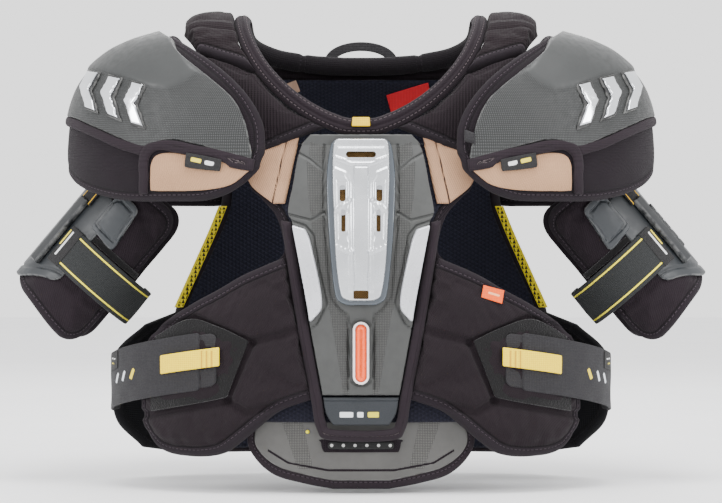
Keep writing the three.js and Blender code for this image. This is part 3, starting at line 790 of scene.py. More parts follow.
            level = np.where(hidden_face, -5.0, level)
            made.data.attributes.new(zone, "FLOAT", "POINT").data.foreach_set("value",
                level.astype(np.float32))
        if self.edge in (Edge.MOULDED, Edge.CUT):
            made.data.set_sharp_from_angle(angle=math.radians(40))
        return made

    def flat_size(self) -> Tuple[Pair, float]:
        """Returns the width and length, and the area, of the piece as it was cut, in metres."""
        grid = self.grid((40, 30))
        at = self.surface.place(grid[..., 0], grid[..., 1], np.full(grid.shape[:2], self.outer), self.outer)
        one, two = np.diff(at, axis=0)[:, :-1], np.diff(at, axis=1)[:-1]
        area = float(np.linalg.norm(np.cross(one, two), axis=-1).sum()) * MM**2
        length = float(np.linalg.norm(np.diff(at, axis=0), axis=-1).sum(0).max()) * MM
        width = float(np.linalg.norm(np.diff(at, axis=1), axis=-1).sum(1).max()) * MM
        return (width, length), min(area, width * length)


def rows(outline: Outline, lay: Callable[[Outline], Array]) -> Tuple[Array, Array]:
    """Returns the left and right edges of a piece that is as wide on both sides of the middle."""
    return lay(outline), lay(mirrored(outline))


# ---------------------------------------------------------------- finishes


CONTRAST = 1.3  # exponent that keeps dark cloth dark in the bright room


def rgb(colour: Colour, lift: float = 1.0) -> Tuple[float, float, float, float]:
    """Returns the linear colour of an sRGB colour from 0 to 255, times lift."""
    share = [c / 255 for c in colour]
    linear = [(c / 12.92 if c <= 0.04045 else ((c + 0.055) / 1.055) ** 2.4) ** CONTRAST for c in share]
    return (min(1, linear[0] * lift), min(1, linear[1] * lift), min(1, linear[2] * lift), 1.0)


class Graph:
    """Builds a material's nodes in plain steps."""

    def __init__(self, name: str) -> None:
        """Starts an empty material with one Principled shader."""
        self.material = bpy.data.materials.new(name)
        self.material.use_nodes = True
        self.tree = self.material.node_tree
        self.tree.nodes.clear()
        self.shader = self.tree.nodes.new("ShaderNodeBsdfPrincipled")
        out = self.tree.nodes.new("ShaderNodeOutputMaterial")
        self.tree.links.new(self.shader.outputs[0], out.inputs[0])

    def feed(self, socket: bpy.types.NodeSocket, value: Value) -> None:
        """Links or sets a socket."""
        if isinstance(value, bpy.types.NodeSocket):
            self.tree.links.new(value, socket)
        else:
            socket.default_value = value

    def math(self, kind: str, a: Value, b: Value = 0.0, c: Value = 0.0) -> bpy.types.NodeSocket:
        """Returns the result of one Math node."""
        node = self.tree.nodes.new("ShaderNodeMath")
        node.operation = kind
        for socket, value in zip(node.inputs, (a, b, c)):
            self.feed(socket, value)
        return node.outputs[0]

    def uv(self, name: str) -> Tuple[bpy.types.NodeSocket, bpy.types.NodeSocket]:
        """Returns both coordinates of a UV map, in metres."""
        node = self.tree.nodes.new("ShaderNodeUVMap")
        node.uv_map = name
        split = self.tree.nodes.new("ShaderNodeSeparateXYZ")
        self.tree.links.new(node.outputs[0], split.inputs[0])
        return split.outputs[0], split.outputs[1]

    def zone(self, name: str, soft: float = 0.25) -> bpy.types.NodeSocket:
        """Returns 1 inside a named zone of the piece and 0 outside it."""
        node = self.tree.nodes.new("ShaderNodeAttribute")
        node.attribute_name = name
        return self.ramp(node.outputs["Fac"], -soft, soft)

    def ramp(self, value: Value, low: float, high: float, first: float = 0.0,
            last: float = 1.0) -> bpy.types.NodeSocket:
        """Returns a smooth step of a value between two results."""
        node = self.tree.nodes.new("ShaderNodeMapRange")
        node.interpolation_type = "SMOOTHSTEP"
        for socket, number in zip(node.inputs, (value, low, high, first, last)):
            self.feed(socket, number)
        return node.outputs[0]

    def band(self, value: Value, low: float, high: float, soft: float) -> bpy.types.NodeSocket:
        """Returns 1 where a value lies between low and high, with soft sides."""
        up = self.ramp(value, low - soft, low + soft)
        down = self.ramp(value, high - soft, high + soft, 1.0, 0.0)
        return self.math("MULTIPLY", up, down)

    def wave(self, value: Value, period: float, shift: float = 0.0) -> bpy.types.NodeSocket:
        """Returns the sine of a length with a period in metres."""
        return self.math("SINE", self.math("MULTIPLY_ADD", value, 2 * math.pi / period, shift))

    def noise(self, scale: float, detail: float = 3.0) -> bpy.types.NodeSocket:
        """Returns noise from 0 to 1 on the object's own coordinates, scale being its number a metre."""
        where = self.tree.nodes.new("ShaderNodeTexCoord")
        node = self.tree.nodes.new("ShaderNodeTexNoise")
        self.tree.links.new(where.outputs["Object"], node.inputs["Vector"])
        node.inputs["Scale"].default_value = scale
        node.inputs["Detail"].default_value = detail
        return node.outputs["Fac"]

    def mix(self, share: Value, first: Value, second: Value) -> bpy.types.NodeSocket:
        """Returns a mix of two colours."""
        node = self.tree.nodes.new("ShaderNodeMix")
        node.data_type = "RGBA"
        self.feed(node.inputs[0], share)
        self.feed(node.inputs[6], first)
        self.feed(node.inputs[7], second)
        return node.outputs[2]

    def bump(self, height: Value, distance: float) -> None:
        """Sets the shader's normal from a height from 0 to 1 over a distance in metres."""
        node = self.tree.nodes.new("ShaderNodeBump")
        node.inputs["Strength"].default_value = 1.0
        node.inputs["Distance"].default_value = distance
        self.feed(node.inputs["Height"], height)
        self.tree.links.new(node.outputs[0], self.shader.inputs["Normal"])

    def hatch(self, period: float) -> bpy.types.NodeSocket:
        """Returns rows of small diamonds: the product of two slanting waves, from 0 to 1."""
        a, b = self.uv("cloth")
        one = self.wave(self.math("ADD", a, b), period)
        two = self.wave(self.math("SUBTRACT", a, b), period)
        return self.math("MULTIPLY_ADD", self.math("MULTIPLY", one, two), 0.5, 0.5)

    def weave(self, kind: Weave, period: float) -> bpy.types.NodeSocket:
        """Returns a cloth's height from 0 to 1 from one or more waves along its threads.

        Args:
            kind: the face of the cloth.
            period: the distance between threads in metres.

        Returns:
            The height.
        """
        a, b = self.uv("cloth")
        if kind is Weave.PILE:
            return self.noise(1 / (period * 1.6), 4.0)
        if kind is Weave.HEX:
            half, tall = self.math("MULTIPLY", a, 0.5), self.math("MULTIPLY", b, 0.866)
            one = self.wave(a, period)
            two = self.wave(self.math("ADD", half, tall), period)
            three = self.wave(self.math("SUBTRACT", half, tall), period)
            total = self.math("ADD", self.math("ADD", one, two), three)
            return self.ramp(total, -1.2, 1.6)
        ribbed = kind in (Weave.TWILL, Weave.CORDED)
        first, second = (b, a) if kind is Weave.ELASTIC else (a, b)
        if kind is Weave.TWILL:
            first = self.math("MULTIPLY_ADD", b, 0.45, a)
        ribs = self.wave(first, period)
        threads = self.wave(second, period * (0.6 if ribbed else 1.0))
        weight = 0.75 if ribbed else 0.5
        total = self.math("ADD", self.math("MULTIPLY", ribs, weight),
            self.math("MULTIPLY", threads, 1 - weight))
        return self.math("MULTIPLY_ADD", total, 0.5, 0.5)


@dataclass(frozen=True)
class Cloth:
    """A sewn cloth with a binding tape, stitching and a soft sheen.

    Args:
        name: the material's name.
        colour: the face's colour.
        weave: the face's weave.
        period: thread spacing in millimetres.
        band: width of the binding tape in millimetres, or 0 for none.
        tape: the tape's colour.
        stitches: distances of the stitch lines from the outline in millimetres.
        thread: the thread's colour.
        zone_colour: colour of the zone named panel.
        zone_weave: weave of that zone.
        contrast: how much the weave lightens and darkens.
        sheen: the sheen's weight.
        relief: depth of the weave in millimetres.
    """

    name: str
    colour: Colour
    weave: Weave = Weave.KNIT
    period: float = 1.4
    band: float = 9.0
    tape: Colour = (52, 45, 51)
    stitches: Tuple[float, ...] = (6.4,)
    thread: Colour = (98, 88, 96)
    zone_colour: Optional[Colour] = None
    zone_weave: Weave = Weave.PILE
    contrast: float = 0.35
    sheen: float = 0.03
    relief: float = 0.35

    def material(self) -> bpy.types.Material:
        """Returns the material.

        The face's colour follows its weave and a slow patchiness, the tape is ribbed along its
        length with painted shade darkening the valley at its inner side, and a dashed thread lies in
        a shallow furrow at each stitch line, which painted shade darkens round the thread.
        """
        g = Graph(self.name)
        along, e = g.uv("edge")
        face = g.weave(self.weave, self.period * MM)
        patchy = g.noise(28.0, 4.0)
        grain = g.noise(900.0, 2.0)
        dark = rgb(self.colour, 1 - self.contrast)
        light = rgb(self.colour, 1 + self.contrast)
        colour = g.mix(g.math("MULTIPLY_ADD", grain, 0.5, g.math("MULTIPLY_ADD", face, 0.7, -0.1)), dark,
            light)
        colour = g.mix(g.ramp(patchy, 0.3, 0.75, 0.0, 0.3), colour, rgb(self.colour, 1.35))
        height: Value = g.math("MULTIPLY_ADD", grain, 0.3, face)
        if self.zone_colour is not None:
            inside = g.zone("panel")
            other = g.weave(self.zone_weave, self.period * MM)
            shade = g.mix(other, rgb(self.zone_colour, 0.6), rgb(self.zone_colour, 1.5))
            colour = g.mix(inside, colour, shade)
            height = g.math("ADD", height, g.math("MULTIPLY", inside, g.math("SUBTRACT", other, height)))
        if self.band > 0:
            rib = g.math("MULTIPLY_ADD", g.wave(along, 1.1 * MM), 0.5, 0.5)
            on_tape = g.ramp(e, (self.band - 0.3) * MM, (self.band + 0.2) * MM, 1.0, 0.0)
            tape = g.mix(g.math("MULTIPLY_ADD", grain, 0.5, g.math("MULTIPLY", rib, 0.5)),
                rgb(self.tape, 0.72), rgb(self.tape, 1.3))
            colour = g.mix(on_tape, colour, tape)
            # painted shade: the sunk valley along the tape's inner side is darkened towards near-black
            valley = g.band(e, (self.band - 0.5) * MM, (self.band + 1.0) * MM, 0.6 * MM)
            colour = g.mix(g.math("MULTIPLY", valley, 0.6), colour, rgb((14, 11, 14)))
            height = g.math("ADD", height, g.math("MULTIPLY", on_tape, g.math("SUBTRACT", rib, height)))
        for line in self.stitches:
            furrow = g.band(e, (line - 0.5) * MM, (line + 0.5) * MM, 0.45 * MM)
            dash = g.ramp(g.wave(along, 4.4 * MM), -0.55, -0.15)
            thread = g.math("MULTIPLY", g.band(e, (line - 0.32) * MM, (line + 0.32) * MM, 0.12 * MM), dash)
            # painted shade: the furrow round each stitch line is darkened; the thread's lighter colour over
            # it is its own
            colour = g.mix(g.math("MULTIPLY", furrow, 0.65), colour, rgb((16, 12, 15)))
            colour = g.mix(g.math("MULTIPLY", thread, 0.85), colour, rgb(self.thread))
            height = g.math("ADD", g.math("SUBTRACT", height, furrow), g.math("MULTIPLY", thread, 1.8))
        g.feed(g.shader.inputs["Base Color"], colour)
        g.feed(g.shader.inputs["Roughness"], g.ramp(grain, 0.2, 0.8, 0.78, 0.95))
        g.shader.inputs["Sheen Weight"].default_value = self.sheen
        g.shader.inputs["Sheen Roughness"].default_value = 0.5
        g.shader.inputs["Specular IOR Level"].default_value = 0.16
        g.bump(height, self.relief * MM)
        return g.material


@dataclass(frozen=True)
class Moulding:
    """A moulded foam or plastic, with a hatched zone and a smooth zone.

    Args:
        name: the material's name.
        colour: the colour.
        roughness: the roughness.
        metal: how metallic it is.
        coat: weight of a clear coat.
        hatched: whether the zone named hatch carries small diamonds.
        everywhere: whether the diamonds cover all but the zone named facet.
        pitch: spacing of the diamonds in millimetres.
        diamond_highlight_colour: colour of the diamonds' tops, a painted highlight over painted shade between
            them.
        facet_colour: colour of the smooth zone, lighter than the rest as a painted highlight.
        grain: depth of the fine grain in millimetres.
        worn: how much the outline is lightened by wear.
    """

    name: str
    colour: Colour
    roughness: float = 0.6
    metal: float = 0.0
    coat: float = 0.0
    hatched: bool = False
    everywhere: bool = False
    pitch: float = 2.6
    diamond_highlight_colour: Colour = (100, 100, 98)
    facet_colour: Colour = (92, 94, 94)
    grain: float = 0.08
    worn: float = 0.2

    def material(self) -> bpy.types.Material:
        """Returns the material: a fine grain, diamonds where they belong, with painted shade between
        them and a painted highlight on their tops, a painted highlight on the smooth facet, and wear
        at the outline.
        """
        g = Graph(self.name)
        _, e = g.uv("edge")
        grain = g.noise(1400.0, 2.0)
        patchy = g.noise(22.0, 5.0)
        scuff = g.noise(160.0, 6.0)
        colour = g.mix(g.ramp(patchy, 0.3, 0.75), rgb(self.colour, 0.9), rgb(self.colour, 1.1))
        height: Value = g.math("MULTIPLY", grain, 0.3)
        rough: Value = g.ramp(scuff, 0.3, 0.8, self.roughness - 0.06, self.roughness + 0.1)
        if self.hatched or self.everywhere:
            where: Value = g.zone("hatch") if self.hatched else g.math("SUBTRACT", 1.0, g.zone("facet", 3.0))
            diamond = g.hatch(self.pitch * MM)
            top = g.ramp(diamond, 0.45, 0.8)
            # painted shade and highlight: the ground between the diamonds is the colour at half, and their
            # tops take the lighter diamond_highlight_colour
            diamond_light_and_shade = g.mix(top, rgb(self.colour, 0.5), rgb(self.diamond_highlight_colour))
            colour = g.mix(where, colour, diamond_light_and_shade)
            height = g.math("ADD", height, g.math("MULTIPLY", where, g.math("MULTIPLY", top, 4.0)))
            if self.everywhere:
                # painted highlight: the smooth facet is mixed towards the lighter facet_colour
                colour = g.mix(g.math("MULTIPLY", g.zone("facet", 3.0), 0.8), colour, rgb(self.facet_colour))
        wear = g.math("MULTIPLY", g.ramp(e, 0.2 * MM, 1.8 * MM, self.worn, 0.0), g.ramp(scuff, 0.35, 0.65))
        colour = g.mix(wear, colour, rgb((190, 190, 188)))
        g.feed(g.shader.inputs["Base Color"], colour)
        g.feed(g.shader.inputs["Roughness"], rough)
        g.shader.inputs["Metallic"].default_value = self.metal
        g.shader.inputs["Coat Weight"].default_value = self.coat
        g.shader.inputs["Coat Roughness"].default_value = 0.12
        g.bump(height, self.grain * MM)
        return g.material


@dataclass(frozen=True)
class WireMesh:
    """A woven brass wire mesh whose openings are painted near-black as painted shade.

    Args:
        name: the material's name.
        colour: the wires' colour.
        pitch: spacing of the wires in millimetres.
    """

    name: str = "brass_mesh"
    colour: Colour = (150, 118, 62)
    pitch: float = 2.0

    def material(self) -> bpy.types.Material:
        """Returns the material: brass where either slanting set of wires passes, and near-black painted shade
        between, for the dark seen through the openings.
        """
        g = Graph(self.name)
        a, b = g.uv("cloth")
        one = g.math("ABSOLUTE", g.wave(g.math("ADD", a, b), 2 * self.pitch * MM))
        two = g.math("ABSOLUTE", g.wave(g.math("SUBTRACT", a, b), 2 * self.pitch * MM))
        wire = g.ramp(g.math("MINIMUM", one, two), 0.25, 0.55, 1.0, 0.0)
        shade = g.mix(g.noise(700.0), rgb(self.colour, 0.8), rgb(self.colour, 1.35))
        # painted shade: the openings between the wires are near-black
        g.feed(g.shader.inputs["Base Color"], g.mix(wire, rgb((16, 14, 10)), shade))
        g.feed(g.shader.inputs["Roughness"], g.ramp(wire, 0.0, 1.0, 0.9, 0.35))
        g.shader.inputs["Metallic"].default_value = 0.4
        g.bump(wire, 0.4 * MM)
        return g.material


@dataclass(frozen=True)
class StripedTape:
    """A woven tape with stripes, pressed bars or punched holes.

    Args:
        name: the material's name.
        colour: the ground colour.
        stripe: the colour of the stripes, bars or holes.
        lines: distances of the stripes from the outline in millimetres.
        half: half the width of a stripe in millimetres.
        punched: whether rows of small dark wedges cover it.
        marked: whether the zone named mark takes the stripe's colour.
        second_mark: colour of the zone named second.
        period: thread spacing in millimetres.
    """

    name: str
    colour: Colour
    stripe: Colour
    lines: Tuple[float, ...] = ()
    half: float = 0.6
    punched: bool = False
    marked: bool = False
    second_mark: Optional[Colour] = None
    period: float = 1.5

    def material(self) -> bpy.types.Material:
        """Returns the material: an elastic's ribs, and its stripes at set distances from the edge."""
        g = Graph(self.name)
        _, e = g.uv("edge")
        face = g.weave(Weave.ELASTIC, self.period * MM)
        grain = g.noise(800.0, 2.0)
        tone = g.math("MULTIPLY_ADD", grain, 0.6, g.math("MULTIPLY", face, 0.5))
        colour = g.mix(tone, rgb(self.colour, 0.72), rgb(self.colour, 1.3))
        height: Value = face
        for line in self.lines:
            on = g.band(e, (line - self.half) * MM, (line + self.half) * MM, 0.15 * MM)
            colour = g.mix(on, colour, g.mix(face, rgb(self.stripe, 0.8), rgb(self.stripe, 1.1)))
        if self.punched:
            a, b = g.uv("cloth")
            up = g.math("FRACT", g.math("DIVIDE", b, 4.2 * MM))
            across = g.math("ABSOLUTE", g.math("SUBTRACT", g.math("FRACT", g.math("DIVIDE", a, 4.0 * MM)),
                0.5))
            wedge = g.ramp(g.math("SUBTRACT", g.math("MULTIPLY", up, 0.42), across), -0.02, 0.03)
            inside = g.band(e, 1.3 * MM, 30 * MM, 0.2 * MM)
            hole = g.math("MULTIPLY", wedge, inside)
            colour = g.mix(hole, colour, rgb(self.stripe))
            height = g.math("SUBTRACT", height, hole)
        if self.marked:
            colour = g.mix(g.zone("mark"), colour, rgb(self.stripe))
        if self.second_mark is not None:
            colour = g.mix(g.zone("second"), colour, rgb(self.second_mark))
        g.feed(g.shader.inputs["Base Color"], colour)
        g.feed(g.shader.inputs["Roughness"], g.ramp(grain, 0.2, 0.8, 0.7, 0.9))
        g.shader.inputs["Sheen Weight"].default_value = 0.03
        g.bump(height, 0.3 * MM)
        return g.material


BLACK: Colour = (45, 38, 44)
KNIT = Cloth("black_knit", BLACK, Weave.KNIT, 1.3, contrast=0.3)
TWILL = Cloth("black_twill", (47, 39, 44), Weave.TWILL, 1.5, contrast=0.42)
CORDED = Cloth("black_corded", (46, 38, 43), Weave.CORDED, 2.8, contrast=0.55, relief=0.6)
SKIRT = Cloth("cap_fabric", (44, 37, 43), Weave.KNIT, 1.1, contrast=0.25)
NAVY_MESH = Cloth("navy_mesh", (44, 44, 56), Weave.HEX, 3.4, contrast=0.4, stitches=(6.2,), relief=0.5)
REAR_KNIT = Cloth("rear_knit", (20, 20, 26), Weave.KNIT, 1.8, tape=(26, 24, 30), thread=(46, 44, 52),
    contrast=0.25)
TAN = Cloth("tan_cloth", (178, 148, 124), Weave.TWILL, 1.9, band=0.0, stitches=(), contrast=0.12,
    zone_colour=(60, 46, 44), zone_weave=Weave.KNIT)
TAN_PATCH = Cloth("tan_patch", (181, 150, 124), Weave.TWILL, 1.8, band=0.0, stitches=(), contrast=0.1)
PILE = Cloth("loop_pile", (20, 17, 20), Weave.PILE, 0.9, band=0.0, stitches=(), contrast=0.7, sheen=0.25,
    relief=0.9)
BINDING = Cloth("binding_tape", (56, 48, 54), Weave.KNIT, 1.1, band=0.0, stitches=(5.4,),
    thread=(120, 110, 112))
FOAM = Moulding("grey_foam", (80, 81, 80), 0.62, hatched=True, pitch=3.0)
BELLY = Moulding("belly_foam", (98, 97, 95), 0.6, hatched=True, pitch=3.0, diamond_highlight_colour=(122, 121, 118))
CAP_PLASTIC = Moulding("cap_plastic", (52, 54, 54), 0.5, everywhere=True, pitch=2.7,
    diamond_highlight_colour=(84, 86, 86), facet_colour=(66, 68, 68), grain=0.1)
SILVER = Moulding("silver_shell", (206, 208, 211), 0.24, metal=0.7, coat=0.2, worn=0.0, grain=0.02)
INSERT = Moulding("silver_insert", (208, 209, 213), 0.3, metal=0.35, coat=0.2, worn=0.0, grain=0.02)
CHROME = Moulding("bright_emblem", (225, 227, 230), 0.12, metal=0.9, worn=0.0, grain=0.01)
RIM = Moulding("clear_rim", (84, 92, 100), 0.16, coat=0.6, worn=0.0, grain=0.02)
ORANGE = Moulding("orange_core", (252, 112, 4), 0.3, coat=0.4, worn=0.0, grain=0.02)
WHITE = Moulding("white_ring", (236, 231, 230), 0.35, coat=0.2, worn=0.0, grain=0.02)
ARM_PLASTIC = Moulding("arm_plastic", (52, 56, 60), 0.45, grain=0.06)
ARM_FACET = Moulding("arm_facet", (66, 70, 74), 0.5, grain=0.06)
RAIL_PLASTIC = Moulding("rail_plastic", (38, 42, 46), 0.45, grain=0.05)
BAR_PLASTIC = Moulding("dark_bar", (30, 30, 30), 0.5)
DARK_PANEL = Moulding("spine_panel", (60, 62, 66), 0.55, hatched=True, pitch=3.0)
YELLOW_DOT = Moulding("yellow_dot", (235, 225, 20), 0.4, worn=0.0)
ARM_ELASTIC = StripedTape("arm_elastic", (34, 38, 39), (245, 232, 70), lines=(4.6,), half=0.75)
TRIM_TAPE = StripedTape("yellow_trim", (226, 210, 24), (24, 22, 14), punched=True)
PULL_TAPE = StripedTape("yellow_pull", (255, 214, 10), (214, 176, 30), marked=True, period=1.8)
WAIST_ELASTIC = StripedTape("waist_elastic", (33, 30, 37), (226, 228, 232), marked=True,
    second_mark=(232, 212, 70))
LOOP_TAPE = StripedTape("loop_tape", (34, 30, 36), (34, 30, 36), period=1.6)
HANGER_TAPE = StripedTape("hanger_tape", (30, 28, 32), (225, 185, 40), lines=(1.6,), half=0.6)
ORANGE_TAG = StripedTape("orange_tag", (248, 112, 14), (250, 190, 150), marked=True)
LABEL = StripedTape("small_label", (28, 26, 28), (225, 225, 225), marked=True, second_mark=(225, 210, 80))
RED_LABEL = StripedTape("red_label", (200, 22, 44), (240, 238, 238), marked=True)
TAN_LABEL = StripedTape("tan_label", (176, 150, 132), (40, 36, 40), marked=True)

Finish = Union[Cloth, Moulding, WireMesh, StripedTape]
MADE: Dict[str, bpy.types.Material] = {}


def join(made: bpy.types.Object, finish: Finish, body: str, *nodes: str) -> bpy.types.Object:
    """Gives a piece its finish and joins it to the frame.

    Args:
        made: the piece.
        finish: the finish.
        body: the body that it rides on.
        nodes: the solids it stands for.

    Returns:
        The piece.
    """
    if finish.name not in MADE:
        MADE[finish.name] = finish.material()
    made.data.materials.clear()
    made.data.materials.append(MADE[finish.name])
    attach(made, body)
    if nodes:
        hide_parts(*nodes)
    LOG.info("%s: %d faces on %s", made.name, len(made.data.polygons), body)
    return made


class Kind(Enum):
    """What a piece is to the frame: a padded piece, a sheet of cloth or a hard part."""

    PAD = "pad"
    SHEET = "sheet"
    HARD = "hard"


def fit(patch: Patch, finish: Finish, body: str, *nodes: str, kind: Kind = Kind.HARD) -> bpy.types.Object:
    """Builds a patch, dresses it and joins it to the frame.

    Args:
        patch: the piece's shape.
        finish: its finish.
        body: the body it rides on.
        nodes: the solids it stands for.
        kind: whether it is a pad or a sheet; not used.

    Returns:
        The piece.
    """
    made = join(patch.build(), finish, body, *nodes)
    flat, area = patch.flat_size()
    return made


# ---------------------------------------------------------------- sub-assemblies


def flip(points: Array, side: int) -> Array:
    """Returns the points on the wearer's left or, mirrored, on the right."""
    return points * np.array([side, 1.0])


def turned(outline: Outline, side: int) -> List[Pair]:
    """Returns an outline on the wearer's left or, mirrored, on the right."""
    return [(x * side, z) for x, z in outline]


def on_front(outline: Outline, side: int = 1) -> Array:
    """Returns an outline laid on the front, on the wearer's left or, mirrored, on the right."""
    return TRUNK.front(turned(outline, side))


def slab(low: Pair, high: Pair, half: float) -> List[Pair]:
    """Returns the corners of a straight bar between two points, half being half its width."""
    a, b = np.array(low, float), np.array(high, float)
    run = (b - a) / np.linalg.norm(b - a)
    side = np.array([-run[1], run[0]]) * half
    return [tuple(a + side), tuple(b + side), tuple(b - side), tuple(a - side)]


@dataclass
class FrontPanel:
    """The chest's liner, foam, frame, cloths and side inserts, in millimetres."""

    liner: Outline = ((104, -93), (102, -130), (92, -142), (78, -158), (71, -178), (71, -194), (88, -206),
        (112, -218), (148, -236), (168, -250), (180, -264), (184, -300), (182, -345))
    foam: Outline = ((46, -86), (56, -99), (62, -130), (66.5, -155), (62.5, -166), (56, -200), (46.3, -259),
        (35, -320))
    badge: Outline = ((34.6, -321.5), (32, -336), (25.5, -347))
    frame_out: Outline = ((74, -163), (67.5, -205), (58.5, -259), (46.5, -322), (41, -350), (28, -360.5))
    frame_in: Outline = ((64.5, -164.5), (57.5, -204), (48, -259), (36.5, -320), (32.5, -343), (24, -350.5))
    cloth_in: Outline = ((56, -88), (61, -110), (65, -130), (69, -148))
    cloth_out: Outline = ((104, -88), (104, -110), (101, -130), (80, -148))
    insert_in: Outline = ((50, -171), (44.5, -187), (35, -236), (43, -252))
    insert_out: Outline = ((62.5, -167), (58, -190), (49, -238), (46.5, -254))
    frame_rise: float = 19.4
    hatching: Sequence[Outline] = (((31, -97), (46, -92), (47, -104), (35, -113)),
        ((35, -119), (49, -109), (47.5, -140), (44.5, -160), (33, -155)),
        ((33, -158), (44.5, -165), (42, -190), (36, -220), (27.5, -246), (21, -285), (15.5, -320),
        (10.5, -320), (11.5, -285), (12.5, -247), (20, -240), (25, -228), (29, -195)))
    furrows: Sequence[Outline] = (((58.5, -101), (46, -108), (34, -118)),
        ((68, -157), (45, -163), (33, -156)), ((64, -163), (50, -168), (43, -176), (38, -206), (31, -237),
        (40, -256), (49, -262)), ((33, -95), (33.5, -125), (33.5, -150), (31, -190), (27, -232), (18, -243),
        (11.5, -247), (11.5, -314)))
    insert_step: Outline = ((51, -205), (47, -213), (43, -237), (41.5, -248))
    seam: Tuple[Pair, Pair] = ((67, -88), (81.5, -153))

    def build(self) -> None:
        """Builds and dresses every piece of the chest."""
        first, second = rows(self.liner, TRUNK.front)
        fit(Patch("chest_liner", TRUNK, first, second, 0, LINER, (120, 110), band=9, crown=0.3,
            bare=("start", "end")), NAVY_MESH, "trunk", "front_liner", kind=Kind.SHEET)
        self.build_foam()
        outer, inner = TRUNK.front(self.frame_out), TRUNK.front(self.frame_in)
        ring = [np.vstack([edge, flip(edge, -1)[::-1]]) for edge in (outer, inner)]
        fit(Patch("chest_frame", TRUNK, ring[0], ring[1], OVER_LINER, self.frame_rise, (260, 18), Edge.ROLLED,
            crown=0.8, bumps=0.1), BINDING, "trunk", "sternum_binding", kind=Kind.PAD)
        for word, side in SIDES:
            cloth = [flip(TRUNK.front(edge), side) for edge in (self.cloth_in, self.cloth_out)]
            line = TRUNK.front(slab(*turned(self.seam, side), 0.7))
            fit(Patch(f"chest_cloth_{word}_piece", TRUNK, cloth[0], cloth[1], OVER_LINER, OVER_LINER + 3.6,
                (50, 40), Edge.ROLLED, crown=1.2, zones={"panel": [line]},
                grooves=[Groove(on_front(self.seam, side), 1.0, 2.0)]), TAN, "trunk", f"chest_cloth_{word}",
                kind=Kind.SHEET)
            insert = [flip(TRUNK.front(edge), side) for edge in (self.insert_in, self.insert_out)]
            step = on_front(self.insert_step, side)
            fit(Patch(f"insert_{word}", TRUNK, insert[0], insert[1], OVER_FOAM, OVER_FOAM + 5, (110, 26),
                Edge.MOULDED, corner=2.0, grooves=[Groove(step, 0.9, 1.8)], bumps=0.0), INSERT, "trunk",
                f"side_insert_{word}")

    def build_foam(self) -> None:
        """Builds the grey chest foam, with its hatched strips and furrows, and the badge panel."""
        first, second = rows(self.foam, TRUNK.front)
        areas = [on_front(area, side) for area in self.hatching for _, side in SIDES]
        sunk = [Groove(on_front(line, side), 1.5, 1.6) for line in self.furrows for _, side in SIDES]
        slot = [(12 * math.cos(a), -282 + 17.5 * math.copysign(1, math.sin(a)) + 12 * math.sin(a))
            for a in np.linspace(0.001, 2 * math.pi - 0.001, 26)]
        well = Relief(TRUNK.front(slot), -1.6, 2.0)
        fit(Patch("chest_foam", TRUNK, first, second, OVER_LINER, FOAM_FACE, (230, 130), Edge.MOULDED,
            grooves=sunk, reliefs=[well], zones={"hatch": areas}, bumps=0.1), FOAM, "trunk", "sternum_foam",
            kind=Kind.PAD)
        first, second = rows(self.badge, TRUNK.front)
        bars = [slab((-19, -337), (-7, -337), 2.4), slab((-3.4, -337), (2.2, -337), 2.4)]
        last = slab((6, -337), (16, -337), 2.4)
        made = Patch("badge_face", TRUNK, first, second, OVER_LINER, FOAM_FACE, (50, 60), Edge.MOULDED,
            zones={"mark": [TRUNK.front(bar) for bar in bars], "second": [TRUNK.front(last)]}, bumps=0.0,
            grooves=[Groove(TRUNK.front([(-36, -325), (36, -325)]), 0.8, 1.2)])
        fit(made, StripedTape("badge_face", (57, 61, 66), (232, 233, 235), marked=True,
            second_mark=(228, 216, 70), period=0.9), "trunk", "badge_panel", kind=Kind.PAD)


